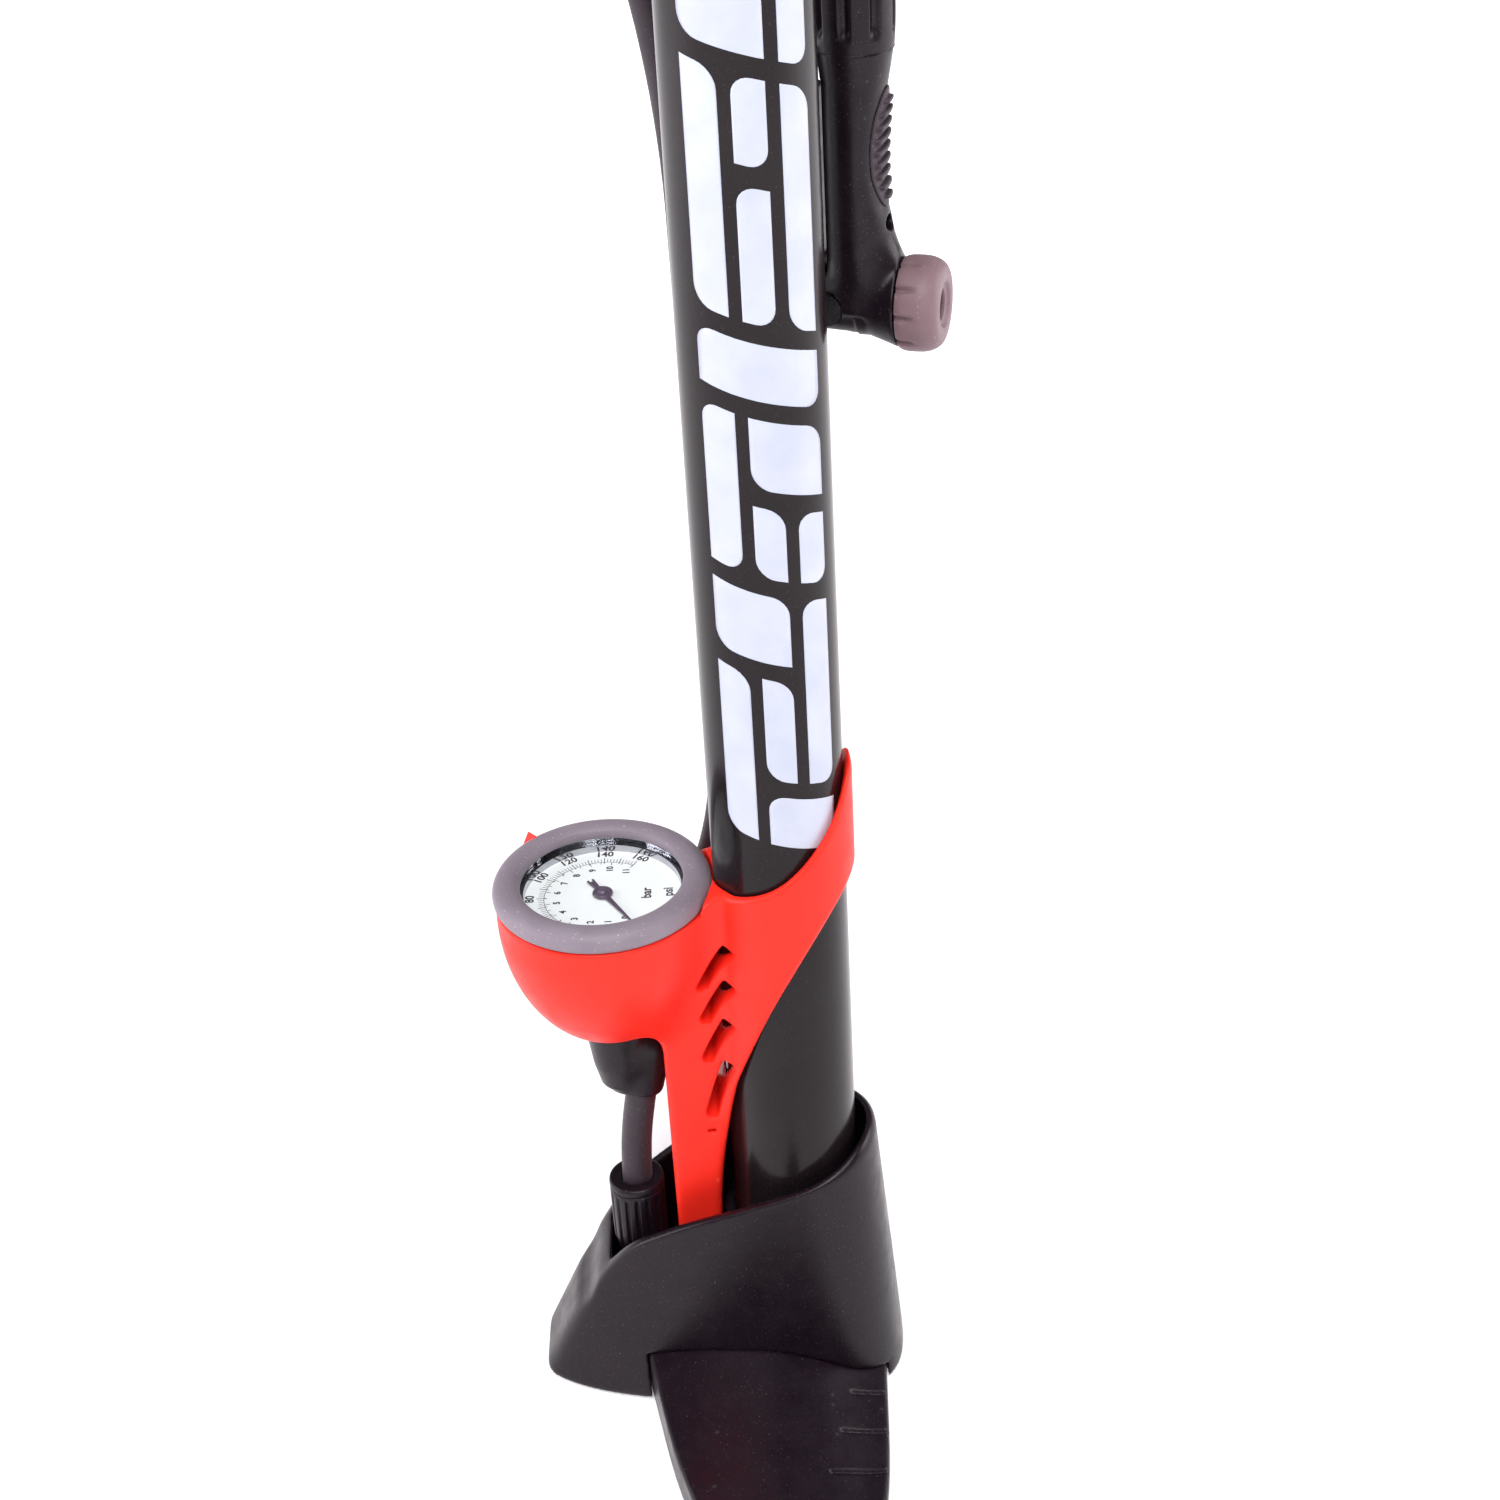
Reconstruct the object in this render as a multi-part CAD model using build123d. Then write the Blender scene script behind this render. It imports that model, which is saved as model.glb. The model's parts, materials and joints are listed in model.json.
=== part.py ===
from build123d import *
import math
import os

# Floor bike pump with a gauge at its base, modelled in millimetres.
# Origin: on the barrel's axis at the floor. +Z is up, -Y points to the gauge, +Y to the person
# pumping, and the foot rests run along X.

# ---------------------------------------------------------------- driving dimensions
FIT = 0.05                      # radial clearance of a running fit
GAP = 0.3                       # space between moving pieces that don't fit each other

BARREL_R = 19.0
BARREL_BORE_R = 17.5
BARREL_FOOT_Z = 20.0
BARREL_TOP_Z = 576.0
STROKE = 500.0

PAD_H = 2.0
WING_END_X = 118.0
WING_ROOT_X = 20.0

BASE_TOP_Z = 94.0
BASE_HALF_WIDTH = 30.5
BASE_NOSE = 84.0
NOSE_BLUNTNESS = 2.7            # exponent of the nose's outline; 2 would be an ellipse
BASE_REAR = 32.0
BASE_SIDE_DRAFT = 0.078         # how much a side leans in for each millimetre of height
BASE_NOSE_DRAFT = 0.47
BASE_WALL = 3.4
POCKET_FLOOR_Z = 22.0
POCKET_RING_R = 22.4            # wall that stands round the barrel inside the pocket
POCKET_RING_TOP = 56.0
VALVE_FLOOR_Z = 7.5
CHANNEL_Z = 10.0
CHANNEL_R = 2.0

# Screws come up through the foot plate, four into the base and one into the bracket.
SCREW_XY = [(-13, -22), (13, -22), (-13, 14), (13, 14)]
ARM_SCREW_Y = -30.0

OUTLET_Y = -49.0
HOSE_D = 9.3
HOSE_R = HOSE_D / 2

GAUGE_Y = -50.8
DIAL_Z = 175.0
BEZEL_R = 31.3
BEZEL_OPENING_R = 23.35
BEZEL_FOOT_Z = 176.4
BEZEL_TOP_Z = 182.6
BOWL_R = 30.7
BOWL_DEPTH = 42.0
BOWL_Z = 170.0                  # where the bowl is widest
BOWL_RIM_Z = 176.1
BOWL_WALL = 2.8
CASE_R = 25.5

COLLAR_R = 21.7
WEB_HALF = 13.0
FOOT_HALF = 8.0

CAP_Z = 566.0
CAP_TOP_Z = 600.0
HOOK_X = -29.0
HOOK_Z = 595.0
ROD_R = 5.0
PISTON_Z = 28.0
PISTON_H = 16.0
HANDLE_Z = 625.0
HANDLE_HALF = 112.0
HUB_R = 13.5
BAR_R = 8.0

HEAD_AT = (-29.0, 29.5, 338.5)  # where the head's neck and nozzle axes cross
HEAD_YAW = -18.0                # the nozzle points this far from +Y towards +X
NECK_R = 9.0
NECK_TOP = 66.0
PIN_BACK = 7.5                  # lever pin behind the neck's axis
CAM_R = 5.0
CAM_OFFSET = 2.0

os.makedirs("parts", exist_ok=True)


# ---------------------------------------------------------------- helpers
def save(name, shape):
    shape.label = name
    export_step(shape, f"parts/{name}.step")


def rod(radius, z0, z1, x=0.0, y=0.0):
    return Pos(x, y, (z0 + z1) / 2) * Cylinder(radius, z1 - z0)


def ring(outer, inner, z0, z1, x=0.0, y=0.0):
    return rod(outer, z0, z1, x, y) - rod(inner, z0 - 1, z1 + 1, x, y)


def rod_x(radius, x0, x1, y=0.0, z=0.0):
    return Pos((x0 + x1) / 2, y, z) * Rot(0, 90, 0) * Cylinder(radius, x1 - x0)


def rod_y(radius, y0, y1, x=0.0, z=0.0):
    return Pos(x, (y0 + y1) / 2, z) * Rot(90, 0, 0) * Cylinder(radius, y1 - y0)


def block(x0, x1, y0, y1, z0, z1):
    centre = ((x0 + x1) / 2, (y0 + y1) / 2, (z0 + z1) / 2)
    return Pos(*centre) * Box(x1 - x0, y1 - y0, z1 - z0)


def turned(points, x=0.0, y=0.0):
    """A solid of revolution about a vertical axis, from (radius, z) points."""
    outline = make_face(Polyline(*[(r, 0, z) for r, z in points], close=True))
    return Pos(x, y, 0) * revolve(outline, Axis.Z)


def side_slab(outline_edges, half_width):
    """A YZ outline given as edges, carried half_width to each side of the middle plane."""
    return extrude(make_face(outline_edges), amount=half_width, both=True)


def hex_prism(across, z0, z1, x=0.0, y=0.0):
    flat = RegularPolygon(across / 2, 6, major_radius=False)
    return Pos(x, y, z0) * extrude(flat, amount=z1 - z0)


def fluted(body, count, radius, groove_r, z0, z1, x=0.0, y=0.0):
    for i in range(count):
        a = 2 * math.pi * i / count
        body -= rod(groove_r, z0, z1, x + radius * math.cos(a), y + radius * math.sin(a))
    return body


def route(points):
    """Straight runs joined by tangent arcs, each as large as its shorter run allows."""
    v = [Vector(*p) for p in points]
    runs = [b - a for a, b in zip(v, v[1:])]
    radii = []
    for first, second in zip(runs, runs[1:]):
        half_turn = math.radians(first.get_angle(second)) / 2
        radii.append(0.45 * min(first.length, second.length) / math.tan(half_turn))
    return FilletPolyline(*points, radius=radii), radii


def hose(points, radius):
    path, radii = route(points)
    section = Plane(origin=path @ 0, z_dir=path % 0) * Circle(radius)
    return sweep(section, path=path), path.length, radii


# ---------------------------------------------------------------- base and foot
def base_section(z, inset=0.0):
    """Outline of the base at height z: a rounded shoe, blunt at the nose, round at the rear."""
    half = BASE_HALF_WIDTH - BASE_SIDE_DRAFT * z - inset
    nose = BASE_NOSE - BASE_NOSE_DRAFT * z - inset
    rear = BASE_REAR - BASE_SIDE_DRAFT * z - inset
    rear_power = 3.0 - z / BASE_TOP_Z
    points = []
    for i in range(32):
        t = 2 * math.pi * (i + 0.5) / 32
        c, s = math.cos(t), math.sin(t)
        power, reach = (rear_power, rear) if s > 0 else (NOSE_BLUNTNESS, nose)
        x = half * math.copysign(abs(c) ** (2 / power), c)
        y = reach * math.copysign(abs(s) ** (2 / power), s)
        points.append((x, y, z))
    return make_face(Spline(*points, periodic=True))


def base_loft(z0, z1, inset=0.0):
    heights = [z0 + (z1 - z0) * i / 3 for i in range(4)]
    return loft([base_section(z, inset) for z in heights])


def above_crest(lift=0.0):
    """Everything above the base's sloping rim."""
    rim = [(-90, 8), (-69, 27), (-62, 40), (-52, 53.5), (-42, 61), (-30, 67.4), (-14, 73.5)]
    rim += [(1, 78.5), (13, 83.5), (22, 88.5), (40, 93)]
    curve = Spline(*[(0, y, z + lift) for y, z in rim])
    lid = Polyline((0, 40, 93 + lift), (0, 40, 140), (0, -90, 140), (0, -90, 8 + lift))
    return side_slab([curve, lid], 45)


def wing_block(drop=0.0, root_x=WING_ROOT_X):
    """One foot rest: a tapering tread that is highest near the base's front half."""
    def rib(x, scale):
        tops = [(-56, 16.5), (-34, 21.5), (-13, 21.8), (4, 16.8), (18, 9.5), (32, 4.2)]
        curve = Spline(*[(x, y, z * scale - drop) for y, z in tops])
        rest = Polyline((x, 32, 4.2 * scale - drop), (x, 32, -4), (x, -56, -4),
                        (x, -56, 16.5 * scale - drop))
        return make_face([curve, rest])

    body = loft([rib(root_x, 1.0), rib(WING_END_X + 7, 0.40)])
    front = Spline((root_x, -49.5), (67, -39.5), (100, -26.5), (WING_END_X, -2),
                   tangents=[(1, 0.1), (0, 1)])
    rear = Spline((WING_END_X, -2), (104, 15), (70, 22.5), (root_x, 25.5),
                  tangents=[(0, 1), (-1, 0.03)])
    close = Line((root_x, 25.5), (root_x, -49.5))
    plan = extrude(make_face([front, rear, close]), amount=40)
    return body & Pos(0, 0, PAD_H - 0.5) * plan


def wing():
    solid = wing_block()
    lowered = wing_block(drop=0.8)
    for i in range(5):
        x = 36 + 15.5 * i
        reach = 14 + 4 * i
        groove = Pos(x, 27 - reach / 2, 12) * Rot(0, 0, 14) * Box(0.9, reach, 30)
        solid -= groove & (solid - lowered)
    return solid


def foot_plate():
    right = wing()
    floor_web = block(-WING_ROOT_X, WING_ROOT_X, -46, 22, PAD_H - 0.5, 6.5)
    plate = right + floor_web + mirror(right, Plane.YZ)
    for x, y in SCREW_XY:
        plate -= rod(2.1, 0, 8, x, y)
        plate -= rod(4.2, 0, 4, x, y)
    plate -= rod(4.2, 0, 4, 0, ARM_SCREW_Y)
    plate -= rod(2.1, 0, 8, 0, ARM_SCREW_Y)
    return plate


def base_body():
    body = base_loft(1.0, BASE_TOP_Z) - above_crest()
    pocket = base_loft(POCKET_FLOOR_Z, BASE_TOP_Z + 4, BASE_WALL)
    pocket &= block(-40, 40, -90, -7, POCKET_FLOOR_Z, 120)
    body -= pocket - rod(POCKET_RING_R, 0, POCKET_RING_TOP)
    body -= rod(BARREL_R + FIT, 18, 120)
    body -= rod(7.0, VALVE_FLOOR_Z, 19)
    body -= rod_y(CHANNEL_R, OUTLET_Y, -4, 0, CHANNEL_Z)
    body += rod(8.0, POCKET_FLOOR_Z - 1, 34, 0, OUTLET_Y)
    body -= rod(4.0, CHANNEL_Z, 40, 0, OUTLET_Y)
    body -= wing_block(root_x=WING_ROOT_X) + mirror(wing_block(root_x=WING_ROOT_X), Plane.YZ)
    body -= block(-WING_ROOT_X, WING_ROOT_X, -46, 22, 0, 6.5)
    for x, y in SCREW_XY:
        body -= rod(1.75, 0, 16, x, y)
    body -= rod(2.1, 0, POCKET_FLOOR_Z + 1, 0, ARM_SCREW_Y)
    rear_notch = block(-2.2, 2.2, 26.8, 40, 26, 44)
    return body - rear_notch


def screw(x, y, head_z, tip_z, shank_r=1.7, head_r=3.9, head_h=2.2):
    body = rod(head_r, head_z, head_z + head_h, x, y) + rod(shank_r, head_z, tip_z, x, y)
    return body - hex_prism(3.0, head_z - 1, head_z + 1.3, x, y)


save("base_body", base_body())
save("foot_plate", foot_plate())
save("base_screws", Compound([screw(x, y, 1.8, 15) for x, y in SCREW_XY]))
save("bracket_screw", screw(0, ARM_SCREW_Y, 1.8, 38))

wing_pads = [rod(7, 0, PAD_H - 0.5, s * x, y) for s in (-1, 1) for x, y in ((98, -6), (52, -26), (52, 12))]
save("foot_pads", Compound(wing_pads + [rod(12, 0, PAD_H - 0.5)]))


# ---------------------------------------------------------------- barrel and check valve
def check_spring():
    coil_r, wire_r, z0, z1 = 2.7, 0.3, VALVE_FLOOR_Z + 0.35, 12.6
    path = Pos(0, 0, z0) * Helix(pitch=(z1 - z0) / 4, height=z1 - z0, radius=coil_r)
    section = Plane(origin=path @ 0, z_dir=path % 0) * Circle(wire_r)
    return sweep(section, path=path)


save("barrel", ring(BARREL_R, BARREL_BORE_R, BARREL_FOOT_Z, BARREL_TOP_Z))
save("barrel_seal", ring(BARREL_R, 15.5, 18, BARREL_FOOT_Z))
save("valve_seat", ring(6.95, 2.0, 15, 18))
save("check_poppet", rod(4.5, 13, 15) + rod(1.5, 9.5, 13))
save("check_spring", check_spring())


# ---------------------------------------------------------------- outlet, hoses and tee
LOWER_ROUTE = [(0, OUTLET_Y, 42), (0, OUTLET_Y, 72), (0, -46.8, 96), (0, -42.2, 117)]
TEE_PORT = (-15.5, -42.0, 125.0)
UPPER_ROUTE = [
    TEE_PORT, (-27, -26, 150), (-26.5, -13, 190), (-26.3, -13.5, 250), (-26, -15, 325),
    (-27, -15.6, 400), (-28.5, -33, 470), (-29, -58, 540), (-29, -45.5, 575), (-29, -17, 595),
    (-29, 17, 595), (-29, 45, 575.5), (-29, 57, 543), (-29, 50, 504), (-29, 29.5, 466),
    (HEAD_AT[0], HEAD_AT[1], HEAD_AT[2] + 80)]


def outlet_barb():
    body = rod(3.95, 24, 34, 0, OUTLET_Y) + hex_prism(12, 34, 37, 0, OUTLET_Y)
    body += rod(2.6, 37, 62, 0, OUTLET_Y)
    for z in (44, 50, 56):
        body += Pos(0, OUTLET_Y, z) * Cone(3.2, 2.6, 4)
    return body - rod(1.3, 20, 70, 0, OUTLET_Y)


def hose_nut():
    body = turned([(4.9, 37.2), (5.8, 37.2), (8.3, 46), (8.4, 69), (7.6, 70), (4.9, 70)], 0, OUTLET_Y)
    return fluted(body, 16, 8.6, 0.7, 48, 68, 0, OUTLET_Y)


def gauge_tee(hose_path_end, hose_dir):
    stem = turned([(0, 134), (10.4, 134), (8.2, 116), (6.6, 108.5), (4, 106), (0, 105.5)], 0, -50)
    lower = Plane(origin=hose_path_end, z_dir=hose_dir) * Pos(0, 0, -4) * Cylinder(6.6, 16)
    port_dir = (Vector(*UPPER_ROUTE[1]) - Vector(*TEE_PORT)).normalized()
    start = Vector(*TEE_PORT) - port_dir * 3
    side = Plane(origin=start, z_dir=port_dir) * Cylinder(6.4, 14)
    neck = loft([
        Plane(origin=(-1, -48, 121), z_dir=(-0.8, 0.4, 0.25)) * Circle(7.5),
        Plane(origin=tuple(start - port_dir * 5), z_dir=(-0.8, 0.4, 0.25)) * Circle(6.2)])
    return stem + lower + side + neck


lower_hose, lower_length, lower_radii = hose(LOWER_ROUTE, HOSE_R)
upper_hose, upper_length, upper_radii = hose(UPPER_ROUTE, HOSE_R)
barb = outlet_barb()
lower_path, _ = route(LOWER_ROUTE)
tee = gauge_tee(lower_path @ 1, lower_path % 1)
bowl_outer = Pos(0, GAUGE_Y, BOWL_Z) * scale(Sphere(1), (BOWL_R, BOWL_R, BOWL_DEPTH))
tee -= bowl_outer
tee -= lower_hose
tee -= upper_hose
tee -= rod(4.0, 118, 140, 0, GAUGE_Y)
save("outlet_barb", barb)
save("hose_nut", hose_nut())
save("lower_hose", lower_hose - rod(3.25, 40, 62, 0, OUTLET_Y))
save("main_hose", upper_hose)
save("gauge_tee", tee)
print("lower hose", round(lower_length, 1), [round(r, 1) for r in lower_radii])
print("main hose", round(upper_length, 1), [round(r, 1) for r in upper_radii],
      "volume over section times length",
      round(upper_hose.volume / (math.pi * HOSE_R ** 2 * upper_length), 4))


# ---------------------------------------------------------------- gauge
SECTOR_PIVOT_X = -16.5
SECTOR_R = 14.95
PINION_R = 1.45
PILLAR_ANGLES = (30, 150, 270)


def gauge_rod(radius, z0, z1):
    return rod(radius, z0, z1, 0, GAUGE_Y)


def gauge_ring(outer, inner, z0, z1):
    return ring(outer, inner, z0, z1, 0, GAUGE_Y)


def gauge_frame():
    """Movement plate on three pillars, with the arbor hole and the sector's pivot post."""
    body = gauge_rod(23.5, 170, 171.5) - gauge_rod(1.2, 160, 180)
    for angle in PILLAR_ANGLES:
        a = math.radians(angle)
        x, y = 21 * math.cos(a), GAUGE_Y + 21 * math.sin(a)
        body += rod(1.6, 157.5, 170, x, y) + rod(1.6, 171.5, 173.6, x, y)
    return body + rod(1.0, 165, 170, SECTOR_PIVOT_X, GAUGE_Y)


def bourdon_tube():
    section = Pos(15, 0, 0) * (Plane.XZ * Circle(2.1))
    coil = revolve(section, Axis.Z, revolution_arc=270)
    return Pos(0, GAUGE_Y, 163) * Rot(0, 0, 120) * coil


def gauge_sector():
    """Toothed segment drawn as its pitch surface: it spans the angles that reach the pinion."""
    fan = Pos(0, 0, 165.8) * extrude(make_face([
        Line((0, 0), (SECTOR_R * math.cos(math.radians(-27)), SECTOR_R * math.sin(math.radians(-27)))),
        CenterArc((0, 0), SECTOR_R, -27, 30),
        Line((SECTOR_R * math.cos(math.radians(3)), SECTOR_R * math.sin(math.radians(3))), (0, 0))]),
        amount=1.4)
    body = fan + rod(2.6, 165.8, 167.2)
    return Pos(SECTOR_PIVOT_X, GAUGE_Y, 0) * (body - rod(1.0 + FIT, 160, 170))


def gauge_needle():
    """Pointer with a round boss and a short tail, pointing at zero."""
    blade = make_face(Polyline((-7.5, -1.4), (-6.2, 1.4), (0, 0.9), (18.6, 0.25), (18.6, -0.25), (0, -0.9),
                               close=True))
    body = Pos(0, 0, DIAL_Z + 0.7) * extrude(blade, amount=0.45) + rod(3.0, DIAL_Z + 0.5, DIAL_Z + 1.5)
    return Pos(0, GAUGE_Y, 0) * Rot(0, 0, 30) * body


def gauge_bezel():
    lip_z = 179.15
    outline = [(CASE_R + FIT, BEZEL_FOOT_Z), (30.4, BEZEL_FOOT_Z), (31.1, 177.3), (BEZEL_R, 178.6),
               (30.9, 180.2), (29.6, 181.7), (27.6, BEZEL_TOP_Z), (25.4, BEZEL_TOP_Z - 0.1),
               (23.9, 181.7), (BEZEL_OPENING_R, 180.6), (BEZEL_OPENING_R, lip_z), (CASE_R + FIT, lip_z)]
    return turned(outline, 0, GAUGE_Y)


MARKER_ANGLE = 223.0


def bezel_marker():
    wedge = make_face(Polyline((28.4, -2.6), (32.3, -1.1), (32.3, 1.1), (28.4, 2.6), close=True))
    tab = Pos(0, GAUGE_Y, 178.4) * Rot(0, 0, MARKER_ANGLE) * extrude(wedge, amount=5.0)
    return tab - gauge_bezel()


def bowl_solid(wall=0.0):
    """The gauge's bowl: half an ellipsoid with a short straight rim."""
    r, depth = BOWL_R - wall, BOWL_DEPTH - wall
    whole = Pos(0, GAUGE_Y, BOWL_Z) * scale(Sphere(1), (r, r, depth))
    return (whole & block(-40, 40, -100, 0, 100, BOWL_Z)) + rod(r, BOWL_Z, BOWL_RIM_Z, 0, GAUGE_Y)


def bracket_outline():
    """Side view of the arm and collar: a straight front edge and two sweeping edges."""
    upper = Spline((0, -36.9, 172), (0, -22, 179.3), (0, -4.8, 185.7), (0, 5, 192.6), (0, 14.6, 204),
                   (0, 19.6, 216))
    tip = Spline((0, 19.6, 216), (0, 21, 218), (0, 22.4, 215))
    lower = Spline((0, 22.4, 184.8), (0, 13.6, 175.2), (0, 3.7, 160.4), (0, -6.2, 141), (0, -16, 113.3),
                   (0, -20.8, 88), (0, -23.3, 60))
    rear = Line((0, 22.4, 215), (0, 22.4, 184.8))
    foot = Polyline((0, -23.3, 60), (0, -23.3, POCKET_FLOOR_Z + 0.05), (0, -36.9, POCKET_FLOOR_Z + 0.05),
                    (0, -36.9, 172))
    return [upper, tip, rear, lower, foot]


def slots():
    """Four leaning slots in the arm, each a little lower than the last, and a small eye."""
    tools = []
    for top, low in (((-15.7, 164), (-24.6, 149.5)), ((-16.0, 151.4), (-24.3, 136.1)),
                     ((-16.9, 137.1), (-24.4, 121.4)), ((-17.8, 121.6), (-24.1, 99.8))):
        along = Vector(0, top[0] - low[0], top[1] - low[1])
        middle = (0, (top[0] + low[0]) / 2, (top[1] + low[1]) / 2)
        plane = Plane(origin=middle, x_dir=along.normalized(), z_dir=(1, 0, 0))
        tools.append(extrude(plane * SlotOverall(along.length, 3.0), amount=30, both=True))
    return tools + [rod_x(1.1, -30, 30, -24.2, 94.5)]


def gauge_bracket():
    """One moulding: the gauge's bowl, the arm down to the base and the collar on the barrel."""
    side = side_slab(bracket_outline(), 30)
    front = make_face(Polyline((-FOOT_HALF, 0, 20), (FOOT_HALF, 0, 20), (WEB_HALF - 1, 0, 130),
                               (WEB_HALF + 1, 0, 225), (-WEB_HALF - 1, 0, 225), (1 - WEB_HALF, 0, 130),
                               close=True))
    web = side & extrude(front, amount=60, both=True) & block(-20, 20, -60, 2, 0, 230)
    collar = side & ring(COLLAR_R, BARREL_R, 95, 225)
    body = bowl_solid() + web + collar
    body -= bowl_solid(BOWL_WALL)
    body -= rod(BARREL_R + FIT, 0, 260)
    body -= rod(BEZEL_R + GAP + 0.2, BOWL_RIM_Z, 190, 0, GAUGE_Y)
    body -= rod(6.0, 120, 160, 0, GAUGE_Y)
    body -= tee
    for tool in slots():
        body -= tool
    inner = side & block(-WEB_HALF + 3, WEB_HALF - 3, -33.5, -19.5, 98, 165)
    body -= inner - rod(BOWL_R, 120, 170, 0, GAUGE_Y)
    return body - rod(1.7, 20, 40, 0, ARM_SCREW_Y)


save("gauge_bracket", gauge_bracket())
save("gauge_stem", ring(4.0, 1.2, 118, 156, 0, GAUGE_Y) + gauge_ring(5.5, 1.2, 136, 140))
case = gauge_ring(CASE_R, CASE_R - 1, 156, 179) + gauge_rod(CASE_R, 156, 157.5)
save("gauge_case", case - gauge_rod(4.0 + FIT, 150, 160))
save("gauge_frame", gauge_frame())
save("bourdon_tube", bourdon_tube())
save("gauge_sector", gauge_sector())
save("gauge_pinion", gauge_rod(PINION_R, 165.6, 167.6) + gauge_rod(0.9, 165.6, DIAL_Z + 0.5))
save("gauge_needle", gauge_needle())
save("gauge_dial", gauge_ring(CASE_R - 1.1, 1.2, 173.8, DIAL_Z))
save("gauge_ring", gauge_ring(CASE_R - 1.1, 22.6, DIAL_Z, 177.2))
save("gauge_lens", gauge_rod(CASE_R - 1.1, 177.2, 178.7))
save("gauge_bezel", gauge_bezel())
save("bezel_marker", bezel_marker())


# ---------------------------------------------------------------- cap, piston and handle
def top_cap():
    body = turned([(0, CAP_Z), (22.5, CAP_Z), (22.5, 588), (21.5, 592), (15, CAP_TOP_Z), (0, CAP_TOP_Z)])
    arm = block(-37, -15, -7, 7, 577, 600) - rod_x(40, -60, 0, 0, 640)
    shape = arm - rod_y(HOSE_R + GAP, -20, 20, HOOK_X, HOOK_Z)
    mouth = block(HOOK_X - 3.6, HOOK_X + 3.6, -20, 20, HOOK_Z, 620)
    shape -= mouth
    body += shape - rod(22, 560, 600)
    body -= rod(BARREL_R + FIT, CAP_Z - 1, BARREL_TOP_Z)
    body -= rod(BARREL_BORE_R - 2, CAP_Z, 590)
    return body - rod(9.0, 580, 610)


def rod_bushing():
    body = rod(9.0, 586, 601) + rod(13, 583, 590)
    return body - rod(ROD_R + FIT, 500, 620)


def piston():
    body = rod(17.3, PISTON_Z, PISTON_Z + PISTON_H)
    groove = ring(20, 14.4, PISTON_Z + 5, PISTON_Z + 10.1)
    return body - groove - rod(4.0, 0, 100)


def grip_profile(side):
    """Half outline of a grip along the bar: slim by the hub, full under the palm."""
    stations = [(20, 12.4), (27, 14.2), (48, 15.3), (72, 14.4), (92, 15.2), (101, 14.2), (104, 12.6)]
    outer = Spline(*[(side * x, r) for x, r in stations])
    inner = Polyline((side * 104, 12.6), (side * 104, BAR_R), (side * 20, BAR_R), (side * 20, 12.4))
    solid = revolve(make_face([outer, inner]), Axis.X)
    return Pos(0, 0, HANDLE_Z) * solid


def handle_core():
    hub = turned([(0, 606), (10, 606), (HUB_R, 612), (HUB_R + 1, HANDLE_Z), (HUB_R - 1, 638), (9, 641), (0, 641)])
    arms = rod_x(12.2, -19.9, 19.9, 0, HANDLE_Z)
    bar = rod_x(BAR_R, -104, 104, 0, HANDLE_Z)
    return hub + arms + bar - rod(ROD_R, 600, 623) - rod(3.0, 620, 650) - rod(5.6, 635, 650)


def end_cap(side):
    profile = [(104, 0), (104, 13.4), (107, 13.4), (110.5, 11.5), (HANDLE_HALF, 8.0), (HANDLE_HALF, 0)]
    outline = make_face(Polyline(*[(side * x, r) for x, r in profile], close=True))
    return Pos(0, 0, HANDLE_Z) * revolve(outline, Axis.X)


piston_top = PISTON_Z + PISTON_H
save("top_cap", top_cap())
save("rod_bushing", rod_bushing())
rod_steel = rod(ROD_R, piston_top, 623) + rod(4.0, 22, piston_top)
save("piston_rod", rod_steel - rod(2.5, 608, 630))
save("piston", piston())
save("piston_seal", ring(BARREL_BORE_R - FIT, 14.4 + FIT, PISTON_Z + 5 + FIT, PISTON_Z + 10.1 - FIT))
save("piston_nut", hex_prism(13, 22, PISTON_Z) - rod(4.0, 0, 100))
save("rod_bumper", ring(9.5, ROD_R, piston_top, piston_top + 6))
save("handle_bumper", ring(9.5, ROD_R, 602, 606))
save("handle_core", handle_core())
save("handle_screw", rod(5.4, 635, 638.5) + rod(2.5, 609, 635) - hex_prism(5, 636, 640))
for label, side in (("left", -1), ("right", 1)):
    save(f"grip_{label}", grip_profile(side))
    save(f"grip_cap_{label}", end_cap(side))


# ---------------------------------------------------------------- pump head
HEAD = Pos(*HEAD_AT) * Rot(0, 0, HEAD_YAW)


def turned_y(points):
    """A solid of revolution about the nozzle's axis, from (radius, distance forward) points."""
    return revolve(make_face(Polyline(*[(r, y, 0) for r, y in points], close=True)), Axis.Y)


def pad_slab(start, end):
    """What lies between two depths in front of the neck's hollow, where the thumb rests."""
    def edge(out):
        hollow = [(9.9, 65), (8.0, 57), (6.7, 49), (6.1, 41), (6.0, 34), (6.9, 27), (8.8, 20)]
        return [(0, y + out, z) for y, z in hollow]

    near, far = edge(start), edge(end)
    sides = [Line(near[0], far[0]), Line(near[-1], far[-1])]
    return side_slab([Spline(*near), Spline(*far)] + sides, 12)


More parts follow.
